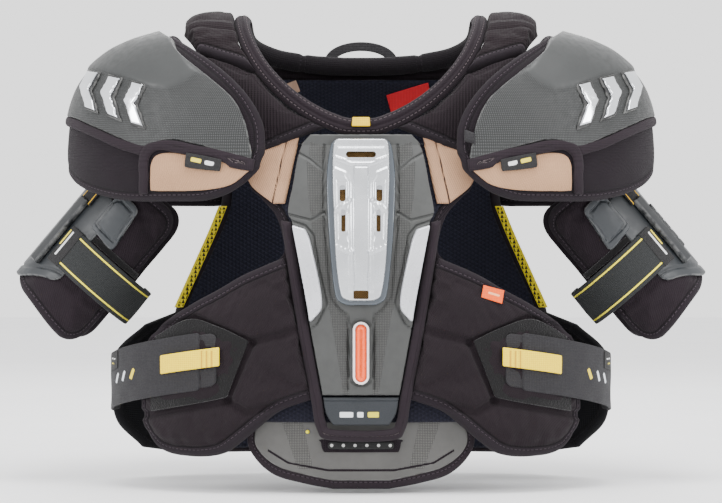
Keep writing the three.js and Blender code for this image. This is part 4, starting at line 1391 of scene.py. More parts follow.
@dataclass
class RibWings:
    """The padded front wings, their loop fields, the waist straps and the pull tabs."""

    top: Outline = ((70, -196), (91, -204.5), (110, -213), (131, -225), (152, -236), (175, -250), (192, -264),
        (203, -281))
    foot: Outline = ((45, -323.5), (74, -334), (93, -348), (110, -362), (129, -374), (158, -377), (186, -371),
        (204, -345))
    upper: Outline = ((48, -259.5), (98, -272.5), (150, -251.5), (190, -264))
    middle: Outline = ((98, -272.5), (121, -325))
    lower: Outline = ((40, -318), (78, -329), (103, -335.5), (121, -325.5), (204, -341))
    lower_pad: Outline = ((127, -334), (200, -346), (200, -353), (180, -361), (136, -362), (114, -343))
    field_top: Outline = ((101, -271), (127, -259), (156, -252), (188, -268))
    field_foot: Outline = ((121, -322), (143, -327), (166, -331.5), (193, -337))
    tag_top: Outline = ((110, -221), (129, -226))
    tag_foot: Outline = ((108, -232), (127, -238))
    strap_width: float = 52.0
    strap_from: float = 55.0
    strap_to: float = -10.0
    tab_width: float = 17.0
    tab_from: float = 61.0
    tab_to: float = 43.0

    def middle_line(self, angle: Array) -> Array:
        """Height of the strap's middle, falling evenly towards the side."""
        return -290 - 26 * (1 - np.clip(angle, 0, None) / 55)

    def build(self) -> None:
        """Builds both sides."""
        for word, side in SIDES:
            top, foot = (flip(TRUNK.front(edge), side) for edge in (self.top, self.foot))
            channels = [Groove(on_front(line, side), 3.4, 6.0) for line in (self.upper, self.middle,
                self.lower)]
            pad = Relief(on_front(self.lower_pad, side), 1.4, 5.0)
            fit(Patch(f"rib_wing_{word}", TRUNK, top, foot, OVER_LINER, RIB_FACE, (190, 150), crown=1.8,
                grooves=channels, reliefs=[pad], pressure=5.0, bare=("start",), bumps=0.25), TWILL, "trunk",
                f"front_wing_{word}", kind=Kind.PAD)
            field_edges = [flip(TRUNK.front(edge), side) for edge in (self.field_top, self.field_foot)]
            fit(Patch(f"loop_field_{word}", TRUNK, field_edges[0], field_edges[1], OVER_RIB - 0.6,
                OVER_RIB + 1.2, (70, 60), Edge.CUT, corner=2, bumps=0.2), PILE, "trunk",
                f"wing_fastener_{word}", kind=Kind.SHEET)
            self.build_strap(word, side)
        tag = [TRUNK.front(edge) for edge in (self.tag_top, self.tag_foot)]
        ring = [slab((114, -227.6), (124.5, -230.8), 1.0)]
        fit(Patch("orange_tag", TRUNK, tag[0], tag[1], OVER_RIB + 0.6, OVER_RIB + 1.8, (20, 12), Edge.CUT,
            bumps=0, zones={"mark": [TRUNK.front(bar) for bar in ring]}), ORANGE_TAG, "trunk", "size_tag",
            kind=Kind.SHEET)

    def build_strap(self, word: str, side: int) -> None:
        """Builds one waist strap with its folded end, its small label and its pull tab.

        Args:
            word: left or right.
            side: 1 or -1.
        """
        belt = Belt(side)
        body = f"waist_strap_{word}"
        angles = np.linspace(self.strap_from, self.strap_to, 14)
        edges = [np.stack([angles, self.middle_line(angles) + sign * self.strap_width / 2],
            -1) for sign in (1, -1)]
        low, high = OVER_FASTENER, OVER_FASTENER + 2.2
        bars = []
        for angle, lean in ((23.5, 1.2), (18.0, 1.2)):
            z = float(self.middle_line(np.array(angle))) - 1
            bars.append(slab((angle * RIB_DEGREE - 2.5, z - 5), (angle * RIB_DEGREE + 2.5 * lean, z + 5),
                2.0))
        z = float(self.middle_line(np.array(29.0))) - 1
        yellow = [slab((29.0 * RIB_DEGREE - 2.5, z - 5), (29.0 * RIB_DEGREE + 3, z + 5), 2.0)]
        fit(Patch(f"waist_elastic_{word}", belt, edges[0], edges[1], low, high, (110, 40), Edge.CUT, corner=3,
            bumps=0.25, zones={"mark": bars, "second": yellow}), WAIST_ELASTIC, body, f"waist_strap_{word}",
            kind=Kind.SHEET)
        ends = np.linspace(self.strap_from + 4.5, self.strap_from - 3.5, 4)
        fold = [np.stack([ends, self.middle_line(ends) + sign * (self.strap_width / 2 - 2)],
            -1) for sign in (1, -1)]
        fit(Patch(f"strap_fold_{word}", belt, fold[0], fold[1], low - 1.0, low + 0.8, (20, 36), Edge.ROLLED,
            corner=6, crown=0.2, bumps=0.1), LOOP_TAPE, body, kind=Kind.SHEET)
        tip = np.linspace(19.0, 9.5, 4)
        label = [np.stack([tip, self.middle_line(tip) + rise], -1) for rise in (self.strap_width / 2 - 2,
            self.strap_width / 2 - 18)]
        z = float(self.middle_line(np.array(14.0)))
        marks = [slab((12 * RIB_DEGREE, z + 18.5), (17 * RIB_DEGREE, z + 18.5), 0.7)]
        seconds = [slab((12 * RIB_DEGREE, z + 14), (15.5 * RIB_DEGREE, z + 14), 0.7)]
        fit(Patch(f"strap_label_{word}", belt, label[0], label[1], high + 0.1, high + 0.8, (24, 16), Edge.CUT,
            bumps=0, zones={"mark": marks, "second": seconds}), LABEL, body, kind=Kind.SHEET)
        pull = np.linspace(self.tab_from, self.tab_to, 6)
        tab = [np.stack([pull, self.middle_line(pull) + 2 + sign * self.tab_width / 2], -1) for sign in (1,
            -1)]
        z = float(self.middle_line(np.array(55.0))) + 2
        pressed = [slab((at * RIB_DEGREE, z - 8), (at * RIB_DEGREE, z + 8), 0.7) for at in (56.3, 57.7, 59.1)]
        stripes = [Groove([(at * RIB_DEGREE, z - 9), (at * RIB_DEGREE, z + 9)], 0.5, 1.2) for at in (56.3,
            57.7, 59.1)]
        fit(Patch(f"pull_tab_{word}", belt, tab[0], tab[1], OVER_STRAP, OVER_STRAP + 1.9, (70, 26), Edge.CUT,
            corner=1, bumps=0.2, zones={"mark": pressed}, grooves=stripes), PULL_TAPE, body,
            f"strap_tab_{word}", kind=Kind.SHEET)


@dataclass
class Sternum:
    """The silver centre shell over its wire mesh and clear rim, and the capsule under it."""

    shell: Outline = ((24, -90.5), (25.5, -100), (25.8, -123), (24.5, -160), (22.5, -200), (18.5, -228),
        (13.5, -235))
    rim: Outline = ((25.5, -90), (28.5, -100), (31, -125), (30, -160), (27, -200), (23, -230), (17, -239))
    thickness: float = 6.0
    rib_half: float = 6.4
    rib_top: float = -115.0
    rib_foot: float = -226.0
    vents: Sequence[Tuple[float, float, float, float, float]] = (
        (0, -104, 27, 5.5, 2.7), (16.4, -139, 5.4, 14.5, 2.4), (-16.4, -139, 5.4, 14.5, 2.4),
        (15.7, -163.5, 3.8, 19.8, 1.5), (-15.7, -163.5, 3.8, 19.8, 1.5), (0, -229.5, 13.6, 7.5, 1.2))
    capsule_middle: float = -281.8
    capsule_half: float = 7.4
    capsule_length: float = 56.4

    def build(self) -> None:
        """Builds the shell, its rim and mesh, and the capsule."""
        first, second = rows(self.rim, TRUNK.front)
        fit(Patch("shell_rim", TRUNK, first, second, OVER_FOAM, OVER_FOAM + 4.2, (120, 50), Edge.MOULDED,
            corner=6, bumps=0.0), RIM, "trunk", "sternum_rim")
        inside = [(x - 3, z) for x, z in self.shell]
        first, second = rows(inside, TRUNK.front)
        fit(Patch("vent_mesh", TRUNK, first, second, OVER_RIM, OVER_RIM + 1.6, (80, 40), Edge.CUT, bumps=0.0),
            WireMesh(), "trunk", "sternum_mesh")
        self.build_shell()
        self.build_capsule()

    def build_shell(self) -> None:
        """Builds the silver shell with its ribs, and cuts the vents through it."""
        lay = TRUNK.front
        rib = Relief(lay(((-self.rib_half, self.rib_top), (self.rib_half, self.rib_top), (5.8, self.rib_foot),
            (-5.8, self.rib_foot))), 1.3, 1.2)
        chevron = Groove(lay(((-26, -106), (-9, -112), (9, -112), (26, -106))), -1.3, 2.6)
        crown = Relief(lay(((-21, -97.5), (21, -97.5), (24, -106), (16, -109), (-16, -109), (-24, -106))),
            0.9, 1.2)
        grooves, reliefs = [chevron], [rib, crown]
        for _, side in SIDES:
            grooves.append(Groove(lay(turned(((10.5, -145.5), (24, -155)), side)), -1.2, 2.2))
            grooves.append(Groove(lay(turned(((8.5, -191.5), (23, -185)), side)), -1.2, 2.2))
            grooves.append(Groove(lay(turned(((23, -117), (14, -121), (10.2, -129), (9.6, -226)), side)),
                -0.9, 2.0))
            reliefs.append(Relief(lay(turned(((12.5, -128), (22, -127), (21.5, -150), (12.5, -148)), side)),
                -0.9, 1.2))
            reliefs.append(Relief(lay(turned(((12, -153), (20.5, -157), (20, -180), (12, -180)), side)), -0.9,
                1.2))
        first, second = rows(self.shell, TRUNK.front)
        patch = Patch("silver_shell", TRUNK, first, second, OVER_MESH, OVER_MESH + self.thickness, (230, 90),
            Edge.MOULDED, corner=4, grooves=grooves, reliefs=reliefs, bumps=0.0)
        made = patch.build()
        cutters = []
        for number, (across, down, width, height, radius) in enumerate(self.vents):
            cutters.append(self.cutter(f"cutter_{number}", across, down, width / 2, height / 2, radius))
        for cutter in cutters:
            cut = made.modifiers.new("vent", "BOOLEAN")
            cut.operation = "DIFFERENCE"
            cut.solver = "EXACT"
            cut.object = cutter
        made = settle_modifiers(made)
        for cutter in cutters:
            bpy.data.objects.remove(cutter)
        made.data.set_sharp_from_angle(angle=math.radians(38))
        join(made, SILVER, "trunk", "sternum_shell")

    def cutter(self, name: str, x: float, z: float, half: float, tall: float,
            radius: float) -> bpy.types.Object:
        """Returns a round-cornered bar through the shell: a ring of corner arcs, drawn out along depth."""
        turn = np.linspace(0, 2 * math.pi, 33)[:-1] + 1e-4
        ring_x = x + (half - radius) * np.sign(np.cos(turn)) + radius * np.cos(turn)
        ring_z = z + (tall - radius) * np.sign(np.sin(turn)) + radius * np.sin(turn)
        y = -float(TRUNK.front_depth(np.array(z))) - OVER_MESH
        front = np.stack([ring_x, np.full(32, y - 30), ring_z], -1)
        back = np.stack([ring_x, np.full(32, y + 1.0), ring_z], -1)
        verts = np.vstack([front, back, [[x, y - 30, z]], [[x, y + 1.0, z]]]) * MM
        i = np.arange(32)
        j = (i + 1) % 32
        walls = np.vstack([np.stack([i, j, j + 32], -1), np.stack([i, j + 32, i + 32], -1)])
        caps = np.vstack([np.stack([j, i, np.full(32, 64)], -1),
            np.stack([i + 32, j + 32, np.full(32, 65)], -1)])
        return mesh_object(name, verts, np.vstack([walls, caps]), False)

    def stadium(self, half: float, tall: float, count: int = 64) -> Array:
        """Points round an upright slot with round ends: a circle with its two halves moved apart."""
        turn = np.linspace(0, 2 * math.pi, count, endpoint=False) + 1e-4
        lift = (tall - half) * np.sign(np.sin(turn))
        return np.stack([half * np.cos(turn), lift + half * np.sin(turn)], -1)

    def build_capsule(self) -> None:
        """Builds the white ring and the domed orange core, as profiles carried round the slot."""
        half, tall = self.capsule_half, self.capsule_length / 2
        turn = np.linspace(0, 2 * math.pi, 14, endpoint=False)
        ring = [(1.25 + 1.15 * math.cos(a), 2.8 + 3.4 * math.sin(a)) for a in turn]
        self.carry("capsule_ring_piece", ring, half, tall, WHITE, "capsule_ring", closed=True)
        swell = np.linspace(0, 1, 12)
        core = [(2.3 + (half - 2.3) * (1 - math.sqrt(1 - s * s)) if s < 1 else half,
            0.4 + 4.4 * s) for s in swell]
        self.carry("capsule_core_piece", core, half, tall, ORANGE, "capsule_core", closed=False)

    def carry(self, name: str, profile: Sequence[Pair], half: float, tall: float, finish: Finish, node: str,
            closed: bool) -> None:
        """Carries a profile round the slot.

        Args:
            name: the piece's name.
            profile: distances in from the slot's outline, and heights.
            half: half the slot's width.
            tall: half its height.
            finish: the finish.
            node: the solid it stands for.
            closed: whether the profile is a ring; otherwise its ends are closed with fans.
        """
        loops = []
        for inset, height in profile:
            line = self.stadium(max(0.05, half - inset), max(0.05, tall - inset))
            spot = TRUNK.front(line + np.array([0, self.capsule_middle]))
            loops.append(TRUNK.place(spot[:, 0], spot[:, 1], np.full(len(spot), OVER_FOAM + height),
                OVER_FOAM))
        verts = np.vstack(loops)
        made = mesh_object(name, verts * MM, tube_quads(len(loops), len(loops[0]), closed))
        write_uv(made, "cloth", np.zeros((len(verts), 2)))
        write_uv(made, "edge", np.full((len(verts), 2), 0.01))
        join(made, finish, "trunk", node)


def settle_modifiers(made: bpy.types.Object) -> bpy.types.Object:
    """Applies an object's modifiers to its mesh."""
    graph = bpy.context.evaluated_depsgraph_get()
    result = bpy.data.meshes.new_from_object(made.evaluated_get(graph), preserve_all_data_layers=True,
        depsgraph=graph)
    made.modifiers.clear()
    made.data = result
    return made


@dataclass
class BellyPad:
    """The belly pad that slides up and down, with its moulded face and punched bar."""

    pad: Outline = ((70, -305), (95, -333), (105, -358), (100, -376), (81.5, -393), (54, -401), (26, -406))
    face: Outline = ((66, -312), (88, -335), (97, -358), (92, -373), (75, -386), (50, -393), (26, -398))
    strips: Outline = ((56, -330), (75, -335), (57, -387), (43, -388))
    bar_down: float = -365.8
    bar_half: float = 30.0

    def build(self) -> None:
        """Builds the pad, its face and its bar."""
        back = -GAP - 0.1 - 3.4
        first, second = rows(self.pad, TRUNK.front)
        fit(Patch("belly_cushion", TRUNK, first, second, back - GAP - 8, back - GAP + 4.2, (110, 170),
            crown=0.4, band=9.5), Cloth("belly_cloth", BLACK, Weave.KNIT, 2.0, band=9.5, tape=(60, 52, 58),
            stitches=(6.6,)), "belly", "belly_pad", kind=Kind.PAD)
        first, second = rows(self.face, TRUNK.front)
        areas = [on_front(self.strips, side) for _, side in SIDES]
        sill = Relief(TRUNK.front(((-37, -361), (37, -361), (33, -371.5), (-33, -371.5))), -1.6, 1.6)
        lip = Groove(TRUNK.front(((-84, -371), (-66, -382), (-30, -388.5), (30, -388.5), (66, -382),
            (84, -371))), 1.0, 1.6)
        fit(Patch("belly_face", TRUNK, first, second, back, -GAP + 0.4, (100, 130), Edge.MOULDED,
            reliefs=[sill], grooves=[lip], zones={"hatch": areas}, bumps=0.2), BELLY, "belly", "belly_panel",
            kind=Kind.PAD)
        bar = [TRUNK.front([(-self.bar_half, self.bar_down + dz), (self.bar_half, self.bar_down + dz)])
            for dz in (3.4, -3.4)]
        holes = []
        for number in range(6):
            holes.append(TRUNK.front(circle((number - 2.5) * 10.6, self.bar_down, 1.5, 14)))
        fit(Patch("punched_bar", TRUNK, bar[0], bar[1], -GAP - 0.1, 1.6, (150, 22), Edge.MOULDED, corner=3.2,
            bumps=0, zones={"mark": holes}, reliefs=[Relief(hole, -0.8, 0.8) for hole in holes]),
            StripedTape("punched_bar", (36, 37, 37), (214, 214, 212), marked=True, period=0.8), "belly",
            "belly_bar")
        dot = [TRUNK.front([(-48.5 + dx, -353.5 + 1.7), (-48.5 + dx, -353.5 - 1.7)]) for dx in (-1.7, 1.7)]
        fit(Patch("yellow_stud", TRUNK, dot[0], dot[1], -GAP, 1.8, (10, 10), Edge.ROLLED, corner=1.6,
            crown=0.2, bumps=0), YELLOW_DOT, "belly")


@dataclass(frozen=True)
class Upright(Surface):
    """An upright flat sheet behind the neck, as across and height."""

    behind: float = 102.0
    down: float = -12.0

    def place(self, p: Array, q: Array, d: Array, seen: float) -> Array:
        """Across and height stand as they are, and depth is added behind."""
        return np.stack([p, self.behind + d, q + self.down], -1)


@dataclass(frozen=True)
class FlatBack(Surface):
    """The spine guard, whose hidden face follows the trunk and whose shown face is flat."""

    seat: float = 15.1
    flat: float = 149.1

    def place(self, p: Array, q: Array, d: Array, seen: float) -> Array:
        """Depth 0 is the trunk at the seat and depth 9 is the flat, with an even share between."""
        at = TRUNK.place(p, q, np.full(p.shape, self.seat), self.seat)
        share = d / 9.0
        at[..., 1] = at[..., 1] + (self.flat - at[..., 1]) * share
        return at


@dataclass
class NeckAndShoulders:
    """The clavicle pads, shoulder arches, neck binding, collar roll and hanging loop."""

    neck_half: float = 112.0
    front_sweep: float = 82.9
    back_sweep: float = 44.5
    binding: float = 15.0
    roll: float = 8.8
    pad: float = 12.0
    arch_outer: float = 168.0
    clavicle: Tuple[Pair, Pair] = ((0.34, 44.0), (0.045, -3.0))
    arch_end: Pair = (0.42, 118.0)
    arch_ahead: Pair = (60.0, 82.0)
    arch_behind: Pair = (20.0, 48.0)
    loop_half: float = 33.0
    loop_rise: float = 24.0
    loop_width: float = 9.0
    collar_seams: Tuple[float, ...] = (-58.0, 0.0, 58.0)

    def neckline(self, side: int, t: Array, off: Array) -> Array:
        """The neck opening's edge, moved away from the hole.

        One less the place's size is the drop. Across is the half-width times one less the drop cubed,
        to 0.65 at the front, and along is the sweep times the drop from the shoulder's top.

        Args:
            side: -1 round the front and 1 round the back.
            t: places from -1 at one shoulder top to 1 at the other.
            off: distance away from the hole.

        Returns:
            Across and along.
        """

        def path(v: Array) -> Array:
            """Returns the edge itself."""
            drop = 1 - np.abs(v)
            reach = (1 - drop**3) ** 0.65 if side < 0 else (1 - drop**6) ** 0.5
            sweep = math.radians(self.front_sweep if side < 0 else self.back_sweep)
            return np.stack([np.sign(v) * self.neck_half * reach,
                TRUNK.arch * (math.pi / 2 + side * sweep * drop)], -1)

        t = np.asarray(t, float)
        run = path(np.minimum(1, t + 0.01)) - path(np.maximum(-1, t - 0.01))
        size = np.linalg.norm(run, axis=-1)
        at = path(t)
        return np.stack([at[..., 0] - side * run[..., 1] * off / size,
            at[..., 1] + side * run[..., 0] * off / size], -1)

    def arch_edge(self, angle: Array) -> Array:
        """The outer edge of the shoulder pads: it draws in by square laws away from the top."""
        angle = np.asarray(angle, float)
        ahead = self.arch_ahead[0] * (np.clip(90 - angle, 0, None) / self.arch_ahead[1]) ** 2
        behind = self.arch_behind[0] * (np.clip(angle - 90, 0, None) / self.arch_behind[1]) ** 2
        return np.stack([self.arch_outer - ahead - behind, TRUNK.arch * np.radians(angle)], -1)

    def build(self) -> None:
        """Builds and dresses every piece."""
        off = self.binding / 2 + GAP - 1.5
        (top_t, top_angle), (foot_t, foot_angle) = self.clavicle
        end_t, end_angle = self.arch_end
        neck_front = self.neckline(-1, np.linspace(top_t, foot_t, 16), np.full(16, off))
        out_front = self.arch_edge(np.linspace(top_angle, foot_angle, 16))
        climb = self.neckline(-1, np.linspace(top_t + 0.004, 0.999, 18), np.full(18, off))
        away = self.neckline(1, np.linspace(0.94, end_t, 10), np.full(10, self.roll + 0.8))
        neck_top = np.vstack([climb, away])
        out_top = self.arch_edge(np.linspace(top_angle + 0.4, end_angle, 28))
        for word, side in SIDES:
            fit(Patch(f"clavicle_{word}", TRUNK, flip(neck_front, side), flip(out_front, side), 0, self.pad,
                (90, 60), band=8.5, crown=0.8, pressure=3.0, bare=("start", "first", "second")), CORDED,
                "trunk", f"clavicle_pad_{word}", kind=Kind.PAD)
            across, upper = (flip(np.array([neck_top[k], out_top[k]]), side) for k in (7, 10))
            fit(Patch(f"arch_{word}", TRUNK, flip(neck_top, side), flip(out_top, side), 0, self.pad + 1.6,
                (150, 70), band=8.5, crown=1.4, pressure=5.0, bare=("first", "second", "end"),
                grooves=[Groove(across, 1.6, 1.8), Groove(upper, 0.7, 1.4)], bumps=0.3),
                Cloth("arch_knit", (46, 38, 42), Weave.KNIT, 2.6, band=8.5, contrast=0.4), "trunk",
                f"shoulder_arch_{word}", kind=Kind.PAD)
        self.build_binding()
        self.build_roll()
        self.build_loop()

    def build_binding(self) -> None:
        """Builds the doubled neck binding and the small yellow tab in its middle."""
        t = np.linspace(-0.994, 0.994, 90)
        edges = [self.neckline(-1, t, np.full(90, sign * self.binding / 2)) for sign in (-1, 1)]
        middle = self.neckline(-1, t, np.full(90, 0.6))
        fit(Patch("neck_tape", TRUNK, edges[0], edges[1], 1, 13.2, (300, 26), Edge.ROLLED, crown=0.3,
            grooves=[Groove(middle, 1.5, 1.8)], bumps=0.12), Cloth("neck_cloth", (50, 42, 48), Weave.KNIT,
            1.3, band=0, stitches=(3.4,), thread=(112, 102, 106)), "trunk", "neck_binding", kind=Kind.PAD)
        tab = [TRUNK.front([(-8.4 + 0.6 * k, -79.8 + 7.6 * k), (8.4 - 0.6 * k, -79.8 + 7.6 * k)]) for k in (0,
            1)]
        fit(Patch("yellow_tab", TRUNK, tab[0], tab[1], 12.5, 14.6, (26, 14), Edge.CUT, corner=0.8, bumps=0),
            PULL_TAPE, "trunk", kind=Kind.PAD)

    def build_roll(self) -> None:
        """Builds the collar roll: a circle carried round the back of the neck, pinched at its seams."""
        steps, turns = 260, 36
        t = np.linspace(-0.99, 0.99, steps)
        angle = np.linspace(0, 2 * math.pi, turns, endpoint=False)
        centre = self.neckline(1, t, np.zeros(steps))
        end = np.minimum(1, np.sqrt(np.clip(1 - ((np.abs(t) - 0.955) / 0.035).clip(0, 1) ** 2, 0, 1)) + 1e-3)
        size = self.roll * end
        for seam in self.collar_seams:
            size = size * (1 - 0.17 * np.exp(-(((centre[:, 0] - seam) / 2.2) ** 2)))
        size = size * (1 + 0.02 * np.sin(centre[:, 0] * 0.19 + 1))
        tt, aa = np.meshgrid(t, angle, indexing="ij")
        radius = size[:, None] * np.ones(turns)
        spot = self.neckline(1, tt, radius * np.cos(aa))
        verts = TRUNK.place(spot[..., 0], spot[..., 1], 5 + radius * np.sin(aa), 5.0).reshape(-1, 3)
        made = mesh_object("collar_cushion", verts * MM, tube_quads(steps, turns, False))
        run = np.concatenate([[0], np.cumsum(np.linalg.norm(np.diff(centre, axis=0), axis=-1))])
        uv = np.stack([(run[:, None] * np.ones(turns)).ravel(), (aa * self.roll).ravel()], -1)
        gap = np.min([np.abs(centre[:, 0] - seam) for seam in self.collar_seams], axis=0)
        write_uv(made, "cloth", uv * MM)
        write_uv(made, "edge", np.stack([(aa * self.roll).ravel(), (gap[:, None] * np.ones(turns)).ravel()],
            -1) * MM)
        knit = Cloth("collar_knit", (34, 29, 34), Weave.KNIT, 2.0, band=0, stitches=(2.6,),
            thread=(60, 52, 60))
        join(made, knit, "trunk", "collar_roll")

    def build_loop(self) -> None:
        """Builds the hanging loop: two nested bows, the sine of the angle to 0.7 giving their rise."""
        a = np.linspace(0, math.pi, 40)
        bows = []
        for half, rise in ((self.loop_half + self.loop_width / 2, self.loop_rise + self.loop_width / 2),
                (self.loop_half - self.loop_width / 2, self.loop_rise - self.loop_width / 2)):
            bows.append(np.stack([-half * np.cos(a), rise * np.clip(np.sin(a), 0, None) ** 0.7], -1))
        fit(Patch("loop_webbing", Upright(), bows[0], bows[1], 0, 2.2, (150, 14), Edge.CUT, bumps=0.1),
            LOOP_TAPE, "loop", "hanging_loop", kind=Kind.PAD)


@dataclass
class BackPanel:
    """The back's yoke, panel, liner, spine guard, rear wings, armhole trims and labels."""

    panel: Outline = ((144, -61.3), (142, -100), (142, -144), (162, -195), (186, -247), (187, -300),
        (182, -390))
    liner: Outline = ((86, -20), (112, -42), (124, -54), (128, -61.3), (131, -100), (130, -144), (150, -195),
        (173, -247), (177, -300), (172, -385))
    spine: Outline = ((30, -95), (38, -120), (36, -200), (32, -280), (24, -330))
    rear_in: Outline = ((184, -250), (184.5, -285), (184.5, -320), (183, -355), (180, -389))
    rear_out: Outline = ((214, -262), (238, -286), (241, -318), (238, -355), (216, -382))
    trim_out: Outline = ((142, -146), (152, -171), (163, -196), (174, -221), (185, -246))
    trim_width: float = 8.0
    quilting: Sequence[Outline] = (
        ((52, -62), (56, -130), (52, -220), (46, -300), (40, -388)),
        ((56, -130), (100, -150), (140, -148)),
        ((52, -220), (110, -236), (172, -222)),
        ((46, -300), (110, -316), (186, -304)),
    )

    def build(self, neck: NeckAndShoulders) -> None:
        """Builds and dresses every piece of the back.

        Args:
            neck: the shoulders, whose collar the yoke follows.
        """
        self.build_yoke(neck)
        first, second = rows(self.panel, TRUNK.back)
        quilt = [Groove(TRUNK.back(turned(line, side)), 2.6, 4.5) for line in self.quilting for _,
            side in SIDES]
        fit(Patch("back_pad", TRUNK, first, second, 0, 14, (130, 136), crown=1.6, band=9, grooves=quilt,
            pressure=4.0, bare=("start",), bumps=0.3), Cloth("back_twill", (42, 36, 41), Weave.TWILL, 2.6,
            contrast=0.4), "trunk", "back_panel", kind=Kind.PAD)
        first, second = rows(self.liner, TRUNK.back)
        fit(Patch("back_lining", TRUNK, first, second, -5.8, -1.8, (90, 70), Edge.ROLLED, crown=0.2,
            bumps=0.5), Cloth("back_lining", (44, 45, 58), Weave.HEX, 3.6, band=0, stitches=(), contrast=0.4,
            relief=0.5), "trunk", "back_liner", kind=Kind.SHEET)
        first, second = rows(self.spine, TRUNK.back)
        areas = [TRUNK.back([(x0, -130), (x1, -130), (x1 - 4, -290), (x0 - 2, -290)]) for x0,
            x1 in ((-20, -8), (10, 22))]
        ridge = [Groove(TRUNK.back([(x, -112), (x * 0.9, -200), (x * 0.75, -315)]), 1.6, 2.4) for x in (-25,
            25)]
        cross = [Groove(TRUNK.back([(-25, z), (0, z - 8), (25, z)]), 1.2, 2.2) for z in (-150, -200, -250)]
        fit(Patch("spine_pad", FlatBack(), first, second, 0, 9, (150, 60), Edge.MOULDED, corner=8,
            zones={"hatch": areas}, grooves=ridge + cross, bumps=0), DARK_PANEL, "trunk", "spine_guard",
            kind=Kind.PAD)
        for word, side in SIDES:
            inside, outside = (flip(TRUNK.back(edge), side) for edge in (self.rear_in, self.rear_out))
            fit(Patch(f"rear_pad_{word}", TRUNK, inside, outside, 0, 8, (110, 50), crown=0.8, band=8,
                two_faced=True, bumps=0.2, pressure=3.0), REAR_KNIT, f"rear_wing_{word}", f"rear_wing_{word}",
                kind=Kind.PAD)
            edge = flip(TRUNK.back(self.trim_out), side)
            hem = flip(TRUNK.back([(x - self.trim_width, z) for x, z in self.trim_out]), side)
            fit(Patch(f"punched_trim_{word}", TRUNK, edge, hem, -5.1, -1.1, (110, 12), Edge.ROLLED, crown=0.1,
                bumps=0), TRIM_TAPE, "trunk", f"armhole_trim_{word}", kind=Kind.SHEET)
        self.build_labels()

    def build_yoke(self, neck: NeckAndShoulders) -> None:
        """Builds the yoke between the collar roll and the back panel."""
        half = neck.neck_half - GAP
        out = neck.arch_edge(np.array(neck.arch_end[1] + 1.2))
        x = np.linspace(-half, half, 31)
        share = np.abs(x) / neck.neck_half
        drop = (1 - share**2) ** (1 / 6)
        hem = TRUNK.arch * (math.pi / 2 + math.radians(neck.back_sweep) * drop) + (neck.roll + 0.8) * (1 + 2.2
            * share**6)
        top = np.vstack([[[-out[0], out[1]]], np.stack([x, np.maximum(out[1], hem)], -1), [[out[0], out[1]]]])
        foot_s = float(TRUNK.back([(0, -60)])[0, 1])
        foot = np.stack([np.where(np.abs(top[:, 0]) >= out[0] - 0.01, np.sign(top[:, 0]) * 144, top[:, 0]),
            np.full(len(top), foot_s)], -1)
        fit(Patch("yoke_pad", TRUNK, top, foot, 0, 14, (200, 60), crown=0.8, bare=("first",), bumps=0.3),
            Cloth("yoke_knit", (44, 37, 42), Weave.KNIT, 2.4, contrast=0.4), "trunk", "back_yoke",
            kind=Kind.PAD)

    def build_labels(self) -> None:
        """Builds the small blank labels sewn inside the neck."""
        def sew(name: str, corners: Outline, marks: Sequence[Outline], finish: Finish) -> None:
            """Sews one label given its two upper and two lower corners."""
            first, second = TRUNK.back(corners[:2]), TRUNK.back(corners[2:])
            zones = {"mark": [TRUNK.back(mark) for mark in marks]}
            fit(Patch(name, TRUNK, first, second, -7.4, -6.4, (36, 24), Edge.CUT, bumps=0, zones=zones),
                finish, "trunk", kind=Kind.SHEET)

        sew("red_label", ((25, -33), (66, -20.5), (30, -52), (70, -38)),
            (((44, -41), (69, -32.5), (70.5, -39), (47, -47.5)),), RED_LABEL)
        sew("tan_label", ((-79, -24), (-64, -18), (-74, -36), (-60, -29)),
            (slab((-74, -28), (-65, -24.5), 1.3),), TAN_LABEL)


